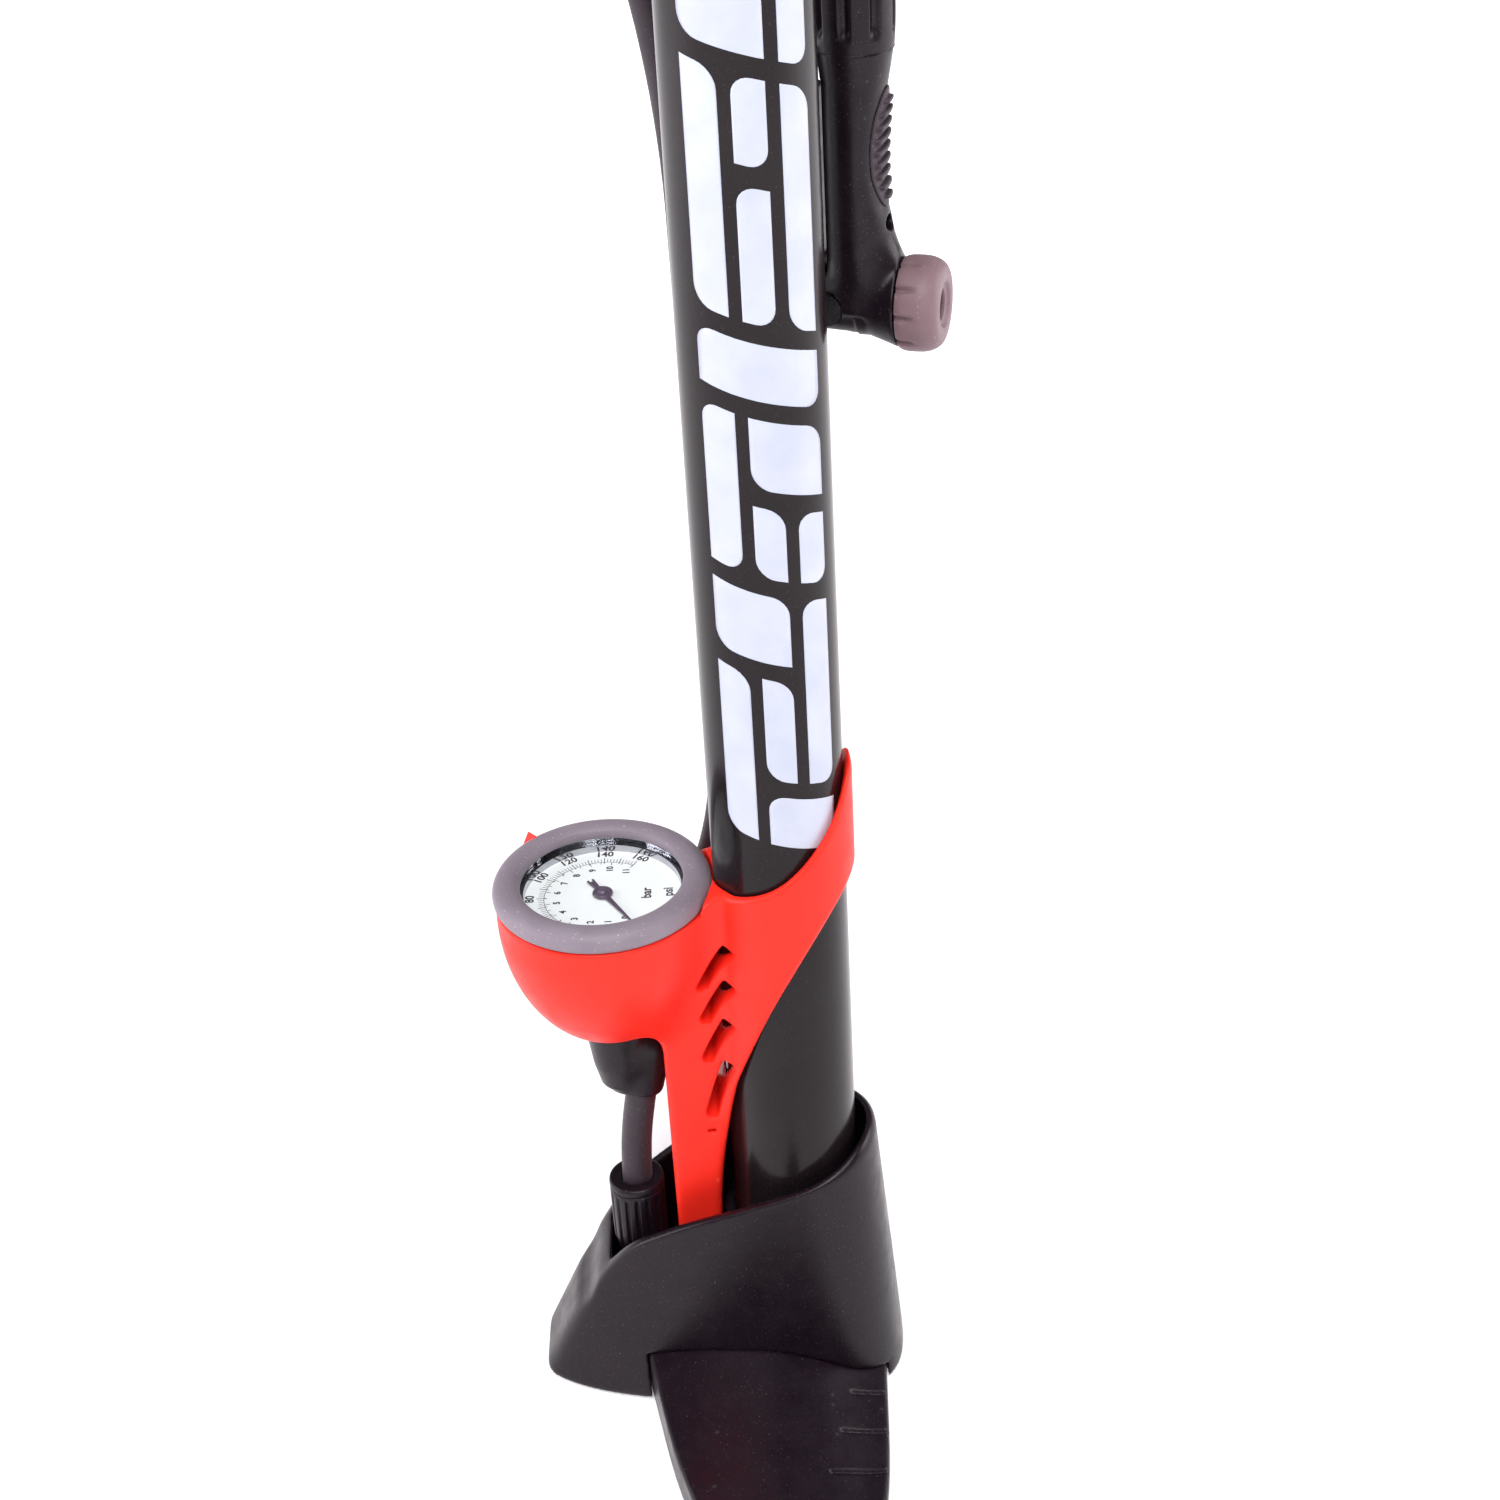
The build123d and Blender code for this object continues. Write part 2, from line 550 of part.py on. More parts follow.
def head_body():
    chamber = turned_y([(0, -13), (5.5, -13), (8.0, -10.5), (8.6, 2), (10.2, 7), (11.6, 11), (8.9, 11),
                        (8.9, 19.0), (0, 19.0)])
    neck = turned([(0, 0), (NECK_R, 0), (NECK_R, 58), (9.8, NECK_TOP), (0, NECK_TOP)])
    neck -= pad_slab(0, 20)
    shoulder = Pos(0, 3.4, 7) * scale(Sphere(1), (8.0, 8.2, 13.5))
    body = chamber + neck + (shoulder & block(-12, 12, -12, 9.8, -12, 30))
    body -= rod_y(6.2, -2.6, 30)
    body -= rod(1.6, 0, 90)
    slot = block(-4, 4, -20, -2.5, -9, 9)
    channel = block(-4, 4, -20, -8.2, 0, NECK_TOP - 8)
    body -= slot
    body -= channel
    body -= rod_x(2.0, -12, 12, -PIN_BACK, 0) + rod_x(4.4, 7.4, 12, -PIN_BACK, 0)
    eye = Pos(0, 9, 20.5) * Rot(90, 0, 0) * Ellipse(1.6, 3.0)
    return body - extrude(eye, amount=5, both=True)


def head_lever():
    """Lock lever lying along the neck: an eccentric cam at the pin and a thumb tab at the end."""
    cam = Pos(0, -PIN_BACK, -CAM_OFFSET) * Rot(0, 90, 0) * Cylinder(CAM_R, 7.4)
    link = block(-3.7, 3.7, -14.6, -PIN_BACK - 1.6, -3, 12)
    arm = block(-5.6, 5.6, -15.2, -9.9, 10, 56)
    tab = Pos(0, -14.9, 58) * Rot(-18, 0, 0) * Box(11.2, 4.2, 14)
    return cam + link + arm + tab - rod_x(2.0 + FIT, -12, 12, -PIN_BACK, 0)


def valve_nut():
    body = turned_y([(9.0 + FIT, 11.2), (11.8, 11.2), (12.4, 13.5), (12.3, 17.8), (11.3, 20.8), (9.4, 22.3),
                     (6.0, 22.3), (5.0, 21.0), (4.2, 21.0), (4.2, 19.6), (9.0 + FIT, 19.6)])
    for i in range(10):
        a = 2 * math.pi * i / 10
        body -= Pos(13.4 * math.cos(a), 0, 13.4 * math.sin(a)) * rod_y(1.7, 12, 20)
    return body


def grip_pad():
    """Oval thumb pad in the neck's hollow, with level ribs."""
    def oval(half_w, half_h):
        return extrude(Pos(0, 2, 41) * Rot(90, 0, 0) * Ellipse(half_w, half_h), amount=-12)

    ribs = None
    for i in range(9):
        z = 41 + 3.1 * (i - 4)
        rib = block(-12, 12, 0, 14, z - 0.8, z + 0.8)
        ribs = rib if ribs is None else ribs + rib
    return (pad_slab(0, 0.9) & oval(6.6, 15.5)) + (pad_slab(0, 1.7) & ribs & oval(5.8, 14.6))


def hose_ferrule():
    body = turned([(0, NECK_TOP), (9.8, NECK_TOP), (10.2, 74), (9.4, 96), (6.6, 110), (0, 110)])
    body = fluted(body, 8, 12.4, 3.4, 70, 100)
    return body - rod(HOSE_R + GAP, 80, 120) - rod(1.6, 60, 90)


save("head_body", HEAD * head_body())
save("head_lever", HEAD * head_lever())
save("lever_pin", HEAD * (rod_x(2.0, -8.0, 7.4, -PIN_BACK, 0) + rod_x(4.3, 7.4, 9.2, -PIN_BACK, 0)))
plunger_back = -PIN_BACK + CAM_R + 0.5
save("head_plunger", HEAD * (rod_y(6.2 - FIT, plunger_back, 12.4) - rod_y(1.5, 3, 20) - rod(1.6, 0, 9)))
save("head_grommet", HEAD * (rod_y(6.1, 14.6, 19.5) - rod_y(3.9, 14, 22)))
save("valve_nut", HEAD * valve_nut())
save("grip_pad", HEAD * grip_pad())
save("hose_ferrule", HEAD * hose_ferrule())
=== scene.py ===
import json
import math
import bmesh
import bpy
import numpy as np
import openvdb
from mathutils import Matrix, Vector


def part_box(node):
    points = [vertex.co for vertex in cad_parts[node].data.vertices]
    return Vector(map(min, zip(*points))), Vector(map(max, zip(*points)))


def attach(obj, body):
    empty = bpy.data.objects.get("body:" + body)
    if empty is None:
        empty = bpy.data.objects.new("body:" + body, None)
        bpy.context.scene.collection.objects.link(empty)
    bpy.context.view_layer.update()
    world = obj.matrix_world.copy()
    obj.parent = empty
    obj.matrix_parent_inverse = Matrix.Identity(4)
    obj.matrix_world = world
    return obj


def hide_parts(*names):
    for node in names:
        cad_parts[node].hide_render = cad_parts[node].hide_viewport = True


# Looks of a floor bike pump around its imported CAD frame. Shapes are drawn in millimetres in the
# row frame and become metres when their mesh is made.
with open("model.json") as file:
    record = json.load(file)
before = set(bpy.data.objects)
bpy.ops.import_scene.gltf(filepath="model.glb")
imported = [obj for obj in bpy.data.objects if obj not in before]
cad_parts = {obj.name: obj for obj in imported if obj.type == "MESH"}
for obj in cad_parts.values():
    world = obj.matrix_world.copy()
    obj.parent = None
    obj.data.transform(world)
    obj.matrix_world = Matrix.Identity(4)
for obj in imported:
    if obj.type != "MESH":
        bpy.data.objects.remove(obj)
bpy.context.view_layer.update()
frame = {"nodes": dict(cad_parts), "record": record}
MM = 0.001


# ---------------------------------------------------------------- sizes from the frame
def box_mm(node):
    low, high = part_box(node)
    return np.array(low) / MM, np.array(high) / MM


dial_low, dial_high = box_mm("gauge_dial")
bezel_low, bezel_high = box_mm("gauge_bezel")
barrel_low, barrel_high = box_mm("barrel")
base_low = box_mm("base_body")[0]
cap_low, cap_high = box_mm("top_cap")
grip_low, grip_high = box_mm("grip_right")

GAUGE_Y = (dial_low[1] + dial_high[1]) / 2
DIAL_Z = dial_high[2]
BEZEL_R = (bezel_high[0] - bezel_low[0]) / 2
OPENING_R = BEZEL_R - 7.95
BARREL_R = (barrel_high[0] - barrel_low[0]) / 2
COLLAR_R = BARREL_R + 2.7
BOWL_R = BEZEL_R - 0.6
BOWL_DEPTH = 42.0
BOWL_Z = 170.0
BOWL_RIM_Z = bezel_low[2] - 0.3
BOWL_WALL = 2.8
NOSE = -base_low[1]
HANDLE_Z = (grip_low[2] + grip_high[2]) / 2
HEAD_TURN = math.radians(-18)
HEAD_AT = Vector((-29.0, 29.5, 338.5))
HEAD = Matrix.Translation(HEAD_AT) @ Matrix.Rotation(HEAD_TURN, 4, "Z")
NECK_TOP = 66.0
HOSE_D = 9.3

# The hoses' routes, as in the CAD source.
HOSE_ROUTE = [
    (-15.5, -42.0, 125.0), (-27, -26, 150), (-26.5, -13, 190), (-26.3, -13.5, 250), (-26, -15, 325),
    (-27, -15.6, 400), (-28.5, -33, 470), (-29, -58, 540), (-29, -45.5, 575), (-29, -17, 595),
    (-29, 17, 595), (-29, 45, 575.5), (-29, 57, 543), (-29, 50, 504), (-29, 29.5, 466),
    (-29.0, 29.5, 418.5)]
SHORT_ROUTE = [(0, -49.0, 42), (0, -49.0, 72), (0, -46.8, 96), (0, -42.2, 117)]


# ---------------------------------------------------------------- materials
def add_node(tree, kind, settings=None, **inputs):
    node = tree.nodes.new(kind)
    for name, value in (settings or {}).items():
        setattr(node, name, value)
    for name, value in inputs.items():
        feed(tree, node.inputs[name.replace("_", " ")], value)
    return node


def feed(tree, socket, value):
    if isinstance(value, bpy.types.NodeSocket):
        tree.links.new(value, socket)
    else:
        socket.default_value = value


class Finish:
    """A material made of a Principled shader and the patterns that feed it. Scales are in millimetres."""

    def __init__(self, name, colour, roughness, **sockets):
        self.material = bpy.data.materials.new(name)
        self.material.use_nodes = True
        self.tree = self.material.node_tree
        self.shader = self.tree.nodes["Principled BSDF"]
        self.colour = (*colour, 1.0)
        self.normal = None
        self.rough = roughness
        self.place = add_node(self.tree, "ShaderNodeTexCoord").outputs["Object"]
        for socket, value in sockets.items():
            self.shader.inputs[socket.replace("_", " ")].default_value = value

    def noise(self, size, detail=3.0, roughness=0.55, stretch=(1, 1, 1)):
        """Noise whose patches are about size millimetres across, drawn out along an axis by stretch."""
        mapping = add_node(self.tree, "ShaderNodeMapping", Vector=self.place)
        mapping.inputs["Scale"].default_value = [1 / (size * MM * s) for s in stretch]
        noise = add_node(self.tree, "ShaderNodeTexNoise", Vector=mapping.outputs["Vector"],
                         Scale=1.0, Detail=detail, Roughness=roughness)
        return noise.outputs["Fac"]

    def between(self, value, low, high, to_low=0.0, to_high=1.0):
        ramp = add_node(self.tree, "ShaderNodeMapRange", {"clamp": True}, Value=value, From_Min=low,
                        From_Max=high, To_Min=to_low, To_Max=to_high)
        return ramp.outputs["Result"]

    def tint(self, colour, mask):
        """Lays a colour over what is there, where the mask is 1."""
        mix = add_node(self.tree, "ShaderNodeMix", {"data_type": "RGBA"})
        feed(self.tree, mix.inputs[0], mask)
        feed(self.tree, mix.inputs[6], self.colour)
        feed(self.tree, mix.inputs[7], (*colour, 1.0))
        self.colour = mix.outputs[2]
        return self

    def mottled(self, colour, size, strength=0.6, detail=4.0):
        return self.tint(colour, self.between(self.noise(size, detail), 0.35, 0.68, 0, strength))

    def specks(self, colour, size, share=0.68, strength=0.5):
        return self.tint(colour, self.between(self.noise(size, 1.0), share, share + 0.05, 0, strength))

    def worn(self, colour, strength=0.5, start=0.54, end=0.62):
        """A lighter tint along outer edges: partly rubbed wear, partly a painted highlight where the edges
        catch the light.
        """
        edge = add_node(self.tree, "ShaderNodeNewGeometry").outputs["Pointiness"]
        return self.tint(colour, self.between(edge, start, end, 0, strength))

    def roughness(self, low, high, size, detail=4.0, stretch=(1, 1, 1)):
        self.rough = self.between(self.noise(size, detail, stretch=stretch), 0.3, 0.7, low, high)
        return self

    def bump(self, size, depth, detail=2.0, stretch=(1, 1, 1), strength=1.0):
        """Relief of about depth millimetres."""
        bump = add_node(self.tree, "ShaderNodeBump", Strength=strength, Distance=depth * MM,
                        Height=self.noise(size, detail, stretch=stretch))
        if self.normal is not None:
            self.tree.links.new(self.normal, bump.inputs["Normal"])
        self.normal = bump.outputs["Normal"]
        return self

    def done(self):
        feed(self.tree, self.shader.inputs["Base Color"], self.colour)
        feed(self.tree, self.shader.inputs["Roughness"], self.rough)
        if self.normal is not None:
            self.tree.links.new(self.normal, self.shader.inputs["Normal"])
        return self.material


def clear_lens(name):
    """Thin clear plastic: see-through, with a gloss that grows towards its edges."""
    material = bpy.data.materials.new(name)
    material.use_nodes = True
    tree = material.node_tree
    tree.nodes.clear()
    place = add_node(tree, "ShaderNodeTexCoord").outputs["Object"]
    smear = add_node(tree, "ShaderNodeTexNoise", Vector=place, Scale=180.0, Detail=4.0).outputs["Fac"]
    rough = add_node(tree, "ShaderNodeMapRange", {"clamp": True}, Value=smear, From_Min=0.4,
                     From_Max=0.7, To_Min=0.02, To_Max=0.12).outputs["Result"]
    clear = add_node(tree, "ShaderNodeBsdfTransparent", Color=(0.97, 0.98, 0.98, 1)).outputs[0]
    gloss = add_node(tree, "ShaderNodeBsdfGlossy", Roughness=rough).outputs[0]
    edge = add_node(tree, "ShaderNodeLayerWeight", Blend=0.3).outputs["Facing"]
    share = add_node(tree, "ShaderNodeMapRange", {"clamp": True}, Value=edge, From_Min=0.3,
                     To_Min=0.02, To_Max=0.25).outputs["Result"]
    mix = add_node(tree, "ShaderNodeMixShader")
    feed(tree, mix.inputs[0], share)
    feed(tree, mix.inputs[1], clear)
    feed(tree, mix.inputs[2], gloss)
    out = add_node(tree, "ShaderNodeOutputMaterial")
    tree.links.new(mix.outputs[0], out.inputs["Surface"])
    return material


def black_moulding(name, grain=0.45, depth=0.03, gloss=(0.27, 0.4), lift=1.0):
    base = (0.0062 * lift, 0.0030 * lift, 0.0058 * lift)
    haze = (0.011 * lift, 0.006 * lift, 0.010 * lift)
    return (Finish(name, base, 0.4, Specular_IOR_Level=0.24)
            .mottled(haze, 17).specks((0.12, 0.10, 0.11), 0.45, 0.70, 0.5)
            # Lighter grey along the outer edges: a painted edge highlight, with a little rubbed wear.
            .worn((0.07, 0.06, 0.07), 0.3)
            .roughness(*gloss, 6).bump(grain, depth, 2.0).bump(9, 0.05, 1.0).done())


def soft_rubber(name, colour, haze, dust, grain=0.6, depth=0.03, gloss=(0.5, 0.7)):
    return (Finish(name, colour, 0.6, Specular_IOR_Level=0.35, Sheen_Weight=0.08, Sheen_Roughness=0.5)
            .mottled(haze, 14).specks(dust, 0.9, 0.69, 0.45)
            .roughness(*gloss, 7).bump(grain, depth).done())


def bare_metal(name, colour, dull, stretch, gloss=(0.2, 0.38)):
    return (Finish(name, colour, 0.3, Metallic=1.0)
            .mottled(dull, 5).roughness(*gloss, 1.2, stretch=stretch)
            .bump(0.25, 0.01, stretch=stretch).done())


def make_materials():
    red = (Finish("red_plastic", (0.93, 0.026, 0.013), 0.4, Specular_IOR_Level=0.2)
           # Lighter, more orange outer edges: a painted edge highlight, with a little rubbed wear.
           .mottled((0.82, 0.020, 0.011), 22, 0.7).worn((0.95, 0.12, 0.07), 0.4)
           .roughness(0.34, 0.5, 8).bump(0.4, 0.02).bump(11, 0.05, 1.0).done())
    paint = (Finish("barrel_paint", (0.0070, 0.0042, 0.0055), 0.16, Specular_IOR_Level=0.18,
                    Coat_Weight=0.05, Coat_Roughness=0.08)
             .mottled((0.013, 0.010, 0.011), 26).specks((0.12, 0.11, 0.11), 0.35, 0.71, 0.5)
             .roughness(0.14, 0.24, 12, stretch=(1, 1, 4)).bump(2.2, 0.012, 1.0).done())
    decal = (Finish("decal_ink", (0.50, 0.53, 0.63), 0.35)
             .mottled((0.42, 0.45, 0.55), 15, 0.8).specks((0.35, 0.36, 0.42), 0.4, 0.71, 0.5)
             .roughness(0.28, 0.45, 4).bump(0.5, 0.008).done())
    chrome = (Finish("chromed", (0.50, 0.50, 0.53), 0.1, Metallic=1.0)
              .mottled((0.38, 0.38, 0.42), 3, 0.5).roughness(0.06, 0.2, 2.5)
              .bump(0.5, 0.004).done())
    white = (Finish("dial_white", (0.97, 0.97, 0.97), 0.5)
             .mottled((0.93, 0.93, 0.94), 7, 0.5).roughness(0.4, 0.6, 3).bump(0.4, 0.004).done())
    print_ink = (Finish("dial_ink", (0.025, 0.014, 0.028), 0.55)
                 .mottled((0.06, 0.04, 0.065), 1.2, 0.7).roughness(0.45, 0.65, 1).bump(0.2, 0.004).done())
    needle = (Finish("needle_grey", (0.085, 0.06, 0.095), 0.35)
              .mottled((0.13, 0.10, 0.14), 2, 0.6).roughness(0.25, 0.45, 2).bump(0.3, 0.006).done())
    piston = (Finish("piston_white", (0.80, 0.80, 0.76), 0.4)
              .mottled((0.72, 0.71, 0.66), 6).roughness(0.32, 0.48, 4).bump(0.8, 0.01).done())
    return {
        "body_black": black_moulding("body_black"),
        "foot_black": black_moulding("foot_black", 0.5, 0.04, (0.3, 0.44), 1.1),
        "barrel_paint": paint,
        "decal_ink": decal,
        "red_plastic": red,
        "bezel_grey": soft_rubber("bezel_grey", (0.20, 0.165, 0.20), (0.25, 0.21, 0.25),
                                  (0.5, 0.44, 0.5), 0.7, 0.03, (0.42, 0.6)),
        "hose_rubber": soft_rubber("hose_rubber", (0.018, 0.010, 0.016), (0.027, 0.017, 0.025),
                                   (0.12, 0.10, 0.12), 0.8, 0.03, (0.45, 0.62)),
        "head_black": black_moulding("head_black", 0.7, 0.02, (0.3, 0.44), 0.9),
        "nut_mauve": soft_rubber("nut_mauve", (0.165, 0.098, 0.112), (0.21, 0.135, 0.15),
                                 (0.36, 0.28, 0.30), 0.8, 0.03, (0.45, 0.62)),
        "grip_rubber": soft_rubber("grip_rubber", (0.19, 0.15, 0.19), (0.235, 0.19, 0.235),
                                   (0.4, 0.37, 0.4), 0.6, 0.05, (0.5, 0.68)),
        "steel": bare_metal("steel", (0.58, 0.58, 0.6), (0.44, 0.44, 0.46), (1, 1, 3)),
        "chromed": chrome,
        "brass": bare_metal("brass", (0.72, 0.53, 0.25), (0.55, 0.38, 0.16), (1, 1, 1)),
        "dial_white": white,
        "dial_ink": print_ink,
        "needle_grey": needle,
        "lens_clear": clear_lens("lens_clear"),
        "seal_rubber": soft_rubber("seal_rubber", (0.014, 0.013, 0.014), (0.024, 0.022, 0.024),
                                   (0.08, 0.08, 0.08)),
        "piston_white": piston,
        "pad_rubber": soft_rubber("pad_rubber", (0.030, 0.019, 0.028), (0.045, 0.032, 0.042),
                                  (0.12, 0.1, 0.12), 0.6, 0.04),
    }


# ---------------------------------------------------------------- making and placing pieces
def add_piece(name, mesh, material, body, replaced=(), smooth=True):
    obj = bpy.data.objects.new(name, mesh)
    bpy.context.scene.collection.objects.link(obj)
    mesh.materials.clear()
    mesh.materials.append(MATERIALS[material])
    if smooth:
        mesh.polygons.foreach_set("use_smooth", [True] * len(mesh.polygons))
    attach(obj, body)
    if replaced:
        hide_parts(*replaced)
    return obj


def mesh_of(name, points, faces, place=None):
    """A mesh from millimetre points, moved by the matrix place, with its faces turned outwards."""
    points = np.asarray(points, float)
    if place is not None:
        m = np.array(place)
        points = points @ m[:3, :3].T + m[:3, 3]
    mesh = bpy.data.meshes.new(name)
    mesh.from_pydata((points * MM).tolist(), [], [tuple(int(i) for i in f) for f in faces])
    mesh.validate()
    work = bmesh.new()
    work.from_mesh(mesh)
    bmesh.ops.remove_doubles(work, verts=work.verts, dist=1e-7)
    bmesh.ops.recalc_face_normals(work, faces=work.faces)
    work.to_mesh(mesh)
    work.free()
    mesh.update()
    return mesh


def smooth_line(points, steps=6, closed=False):
    """A Catmull-Rom curve through the points."""
    p = np.asarray(points, float)
    if closed:
        p = np.vstack([p[-1], p, p[:2]])
    else:
        p = np.vstack([2 * p[0] - p[1], p, 2 * p[-1] - p[-2]])
    out = []
    for a, b, c, d in zip(p, p[1:], p[2:], p[3:]):
        for t in np.arange(steps) / steps:
            out.append(0.5 * (2 * b + (c - a) * t + (2 * a - 5 * b + 4 * c - d) * t ** 2
                              + (3 * b - a - 3 * c + d) * t ** 3))
    if not closed:
        out.append(p[-2])
    return np.array(out)


def turned(name, profile, around=96, carve=None, place=None, closed=True):
    """A solid of revolution about Z from (radius, height) points. carve(angle, radius, height) gives a
    new radius, for flutes and ribs. An open profile starts and ends on the axis."""
    profile = np.asarray(profile, float)
    points, faces = [], []
    n = len(profile)
    for i in range(around):
        a = 2 * math.pi * i / around
        for r, z in profile:
            radius = carve(a, r, z) if carve else r
            points.append((radius * math.cos(a), radius * math.sin(a), z))
    spans = n if closed else n - 1
    for i in range(around):
        for k in range(spans):
            a, b = i * n + k, i * n + (k + 1) % n
            c, d = ((i + 1) % around) * n + (k + 1) % n, ((i + 1) % around) * n + k
            faces.append((a, b, c, d))
    return mesh_of(name, points, faces, place)


# ---------------------------------------------------------------- moulded shapes as distance fields
class Solid:
    """A box of sample points, in millimetres, and the shapes that are drawn on it as signed distances."""

    def __init__(self, low, high, step):
        self.low = np.array(low, float)
        self.step = step
        axes = [np.arange(a, b + step, step, dtype=np.float32) for a, b in zip(low, high)]
        self.x, self.y, self.z = np.meshgrid(*axes, indexing="ij", sparse=True)
        self.shape = tuple(len(a) for a in axes)

    def ball(self, centre, radii):
        """An ellipsoid."""
        p = [(v - c) for v, c in zip((self.x, self.y, self.z), centre)]
        k0 = np.sqrt(sum((v / r) ** 2 for v, r in zip(p, radii)))
        k1 = np.sqrt(sum((v / r ** 2) ** 2 for v, r in zip(p, radii))) + 1e-6
        return k0 * (k0 - 1) / k1

    def round_z(self, radius, x=0.0, y=0.0):
        return np.sqrt((self.x - x) ** 2 + (self.y - y) ** 2) - radius

    def round_y(self, radius, x=0.0, z=0.0):
        return np.sqrt((self.x - x) ** 2 + (self.z - z) ** 2) - radius

    def round_x(self, radius, y=0.0, z=0.0):
        return np.sqrt((self.y - y) ** 2 + (self.z - z) ** 2) - radius

    def rod(self, start, end, radius, end_radius=None):
        """A round-ended rod or cone between two points."""
        a, b = np.array(start, float), np.array(end, float)
        d = b - a
        t = ((self.x - a[0]) * d[0] + (self.y - a[1]) * d[1] + (self.z - a[2]) * d[2]) / (d @ d)
        t = np.clip(t, 0, 1)
        off = (self.x - a[0] - t * d[0]) ** 2 + (self.y - a[1] - t * d[1]) ** 2 \
            + (self.z - a[2] - t * d[2]) ** 2
        return np.sqrt(off) - (radius + t * ((radius if end_radius is None else end_radius) - radius))

    def between(self, values, low, high):
        return np.maximum(low - values, values - high)

    def block(self, low, high, round_by=0.0):
        half = (np.array(high) - np.array(low)) / 2 - round_by
        mid = (np.array(high) + np.array(low)) / 2
        q = [np.abs(v - m) - h for v, m, h in zip((self.x, self.y, self.z), mid, half)]
        outside = np.sqrt(sum(np.maximum(v, 0) ** 2 for v in q))
        return outside + np.minimum(np.maximum(np.maximum(q[0], q[1]), q[2]), 0) - round_by

    def turned(self, radius, along, profile):
        """The region inside a turned outline: (radius, height) points from axis to axis."""
        mirrored = np.vstack([profile, [(-r, h) for r, h in profile[::-1]]])
        return outline_distance(radius, along, mirrored)


def outline_distance(u, v, outline):
    """Signed distance in a plane to a closed outline, negative inside."""
    u, v = np.broadcast_arrays(u, v)
    best = np.full(u.shape, 1e9, np.float32)
    inside = np.zeros(u.shape, bool)
    outline = np.asarray(outline, float)
    for (x0, y0), (x1, y1) in zip(outline, np.roll(outline, -1, axis=0)):
        dx, dy = x1 - x0, y1 - y0
        size = dx * dx + dy * dy
        if size < 1e-12:
            continue
        t = np.clip(((u - x0) * dx + (v - y0) * dy) / size, 0, 1)
        best = np.minimum(best, (u - x0 - t * dx) ** 2 + (v - y0 - t * dy) ** 2)
        if abs(dy) > 1e-12:
            inside ^= ((y0 > v) != (y1 > v)) & (u < dx * (v - y0) / dy + x0)
    return np.where(inside, -np.sqrt(best), np.sqrt(best))


def add(a, b, blend=0.0):
    """Both shapes, with a soft inner corner blend millimetres wide."""
    blend = np.maximum(blend, 1e-6)
    h = np.maximum(blend - np.abs(a - b), 0) / blend
    return np.minimum(a, b) - h * h * blend / 4


def keep(a, b, blend=0.0):
    """What both shapes share, with a rounded outer edge."""
    return -add(-a, -b, blend)


def cut(a, b, blend=0.0):
    """The first shape without the second."""
    return keep(a, -b, blend)


def true_distance(values, step):
    """Turns a rising function that is zero on a surface into a distance from it."""
    slopes = np.gradient(values, step)
    return values / np.maximum(np.sqrt(sum(s * s for s in slopes)), 1e-6)


def sample(values, at):
    """Values of a grid at fractional index positions."""
    limit = np.array(values.shape) - 2
    base = np.clip(np.floor(at).astype(int), 0, limit)
    f = np.clip(at - base, 0, 1)
    total = np.zeros(len(at))
    for corner in range(8):
        o = np.array([corner >> 2 & 1, corner >> 1 & 1, corner & 1])
        weight = np.prod(np.where(o, f, 1 - f), axis=1)
        i = base + o
        total += weight * values[i[:, 0], i[:, 1], i[:, 2]]
    return total


def moulded(name, solid, values, place=None):
    """The zero surface of a distance field as a mesh whose shading follows the field."""
    values = np.ascontiguousarray(np.broadcast_to(values, solid.shape), dtype=np.float32)
    reach = 3 * solid.step
    grid = openvdb.FloatGrid(reach)
    grid.copyFromArray(np.clip(values, -reach, reach))
    at, triangles, quads = grid.convertToPolygons(isovalue=0.0)
    slopes = np.gradient(values, solid.step)
    for _ in range(2):
        normal = np.stack([sample(s, at) for s in slopes], axis=1)
        length = np.maximum(np.linalg.norm(normal, axis=1, keepdims=True), 0.2)
        move = sample(values, at)[:, None] * normal / length ** 2 / solid.step
        at = at - np.clip(move, -0.4, 0.4)
    points = at * solid.step + solid.low
    normal = normal / length
    if place is not None:
        m = np.array(place)
        points = points @ m[:3, :3].T + m[:3, 3]
        normal = normal @ m[:3, :3].T
    faces = [tuple(int(i) for i in face[::-1]) for part in (quads, triangles) for face in part]
    mesh = bpy.data.meshes.new(name)
    mesh.from_pydata((points * MM).tolist(), [], faces)
    mesh.update()
    first = mesh.polygons[0]
    if Vector(normal[first.vertices[0]]).dot(first.normal) < 0:
        mesh.flip_normals()
    mesh.polygons.foreach_set("use_smooth", [True] * len(mesh.polygons))
    mesh.normals_split_custom_set_from_vertices(normal.tolist())
    return mesh


# ---------------------------------------------------------------- base and foot
RIM = smooth_line([(-90, 8), (-69, 27), (-62, 40), (-52, 53.5), (-42, 61), (-30, 67.4), (-14, 73.5),
                   (1, 78.5), (13, 83.5), (22, 88.5), (40, 93)])
WING_TOP = smooth_line([(-56, 16.5), (-34, 21.5), (-13, 21.8), (4, 16.8), (18, 9.5), (32, 4.2)])
WING_PLAN = np.vstack([
    smooth_line([(20, -49.5), (67, -39.5), (100, -26.5), (113, -15), (118, -2)]),
    smooth_line([(118, -2), (114, 7), (104, 15), (70, 22.5), (20, 25.5)])])
WING_ROOT_X = 20.0
WING_REACH = 105.0
WING_THINNING = 0.6
SHOE_SIDE_DRAFT = 0.078
SHOE_HALF_WIDTH = 30.5
SHOE_REAR = 32.0
SHOE_WALL = 3.4
SHOE_NOSE_DRAFT = 0.47
NOSE_ROUNDING = 4.0
OUTLET_Y = -49.0
BRACKET_FOOT_Z = 22.0


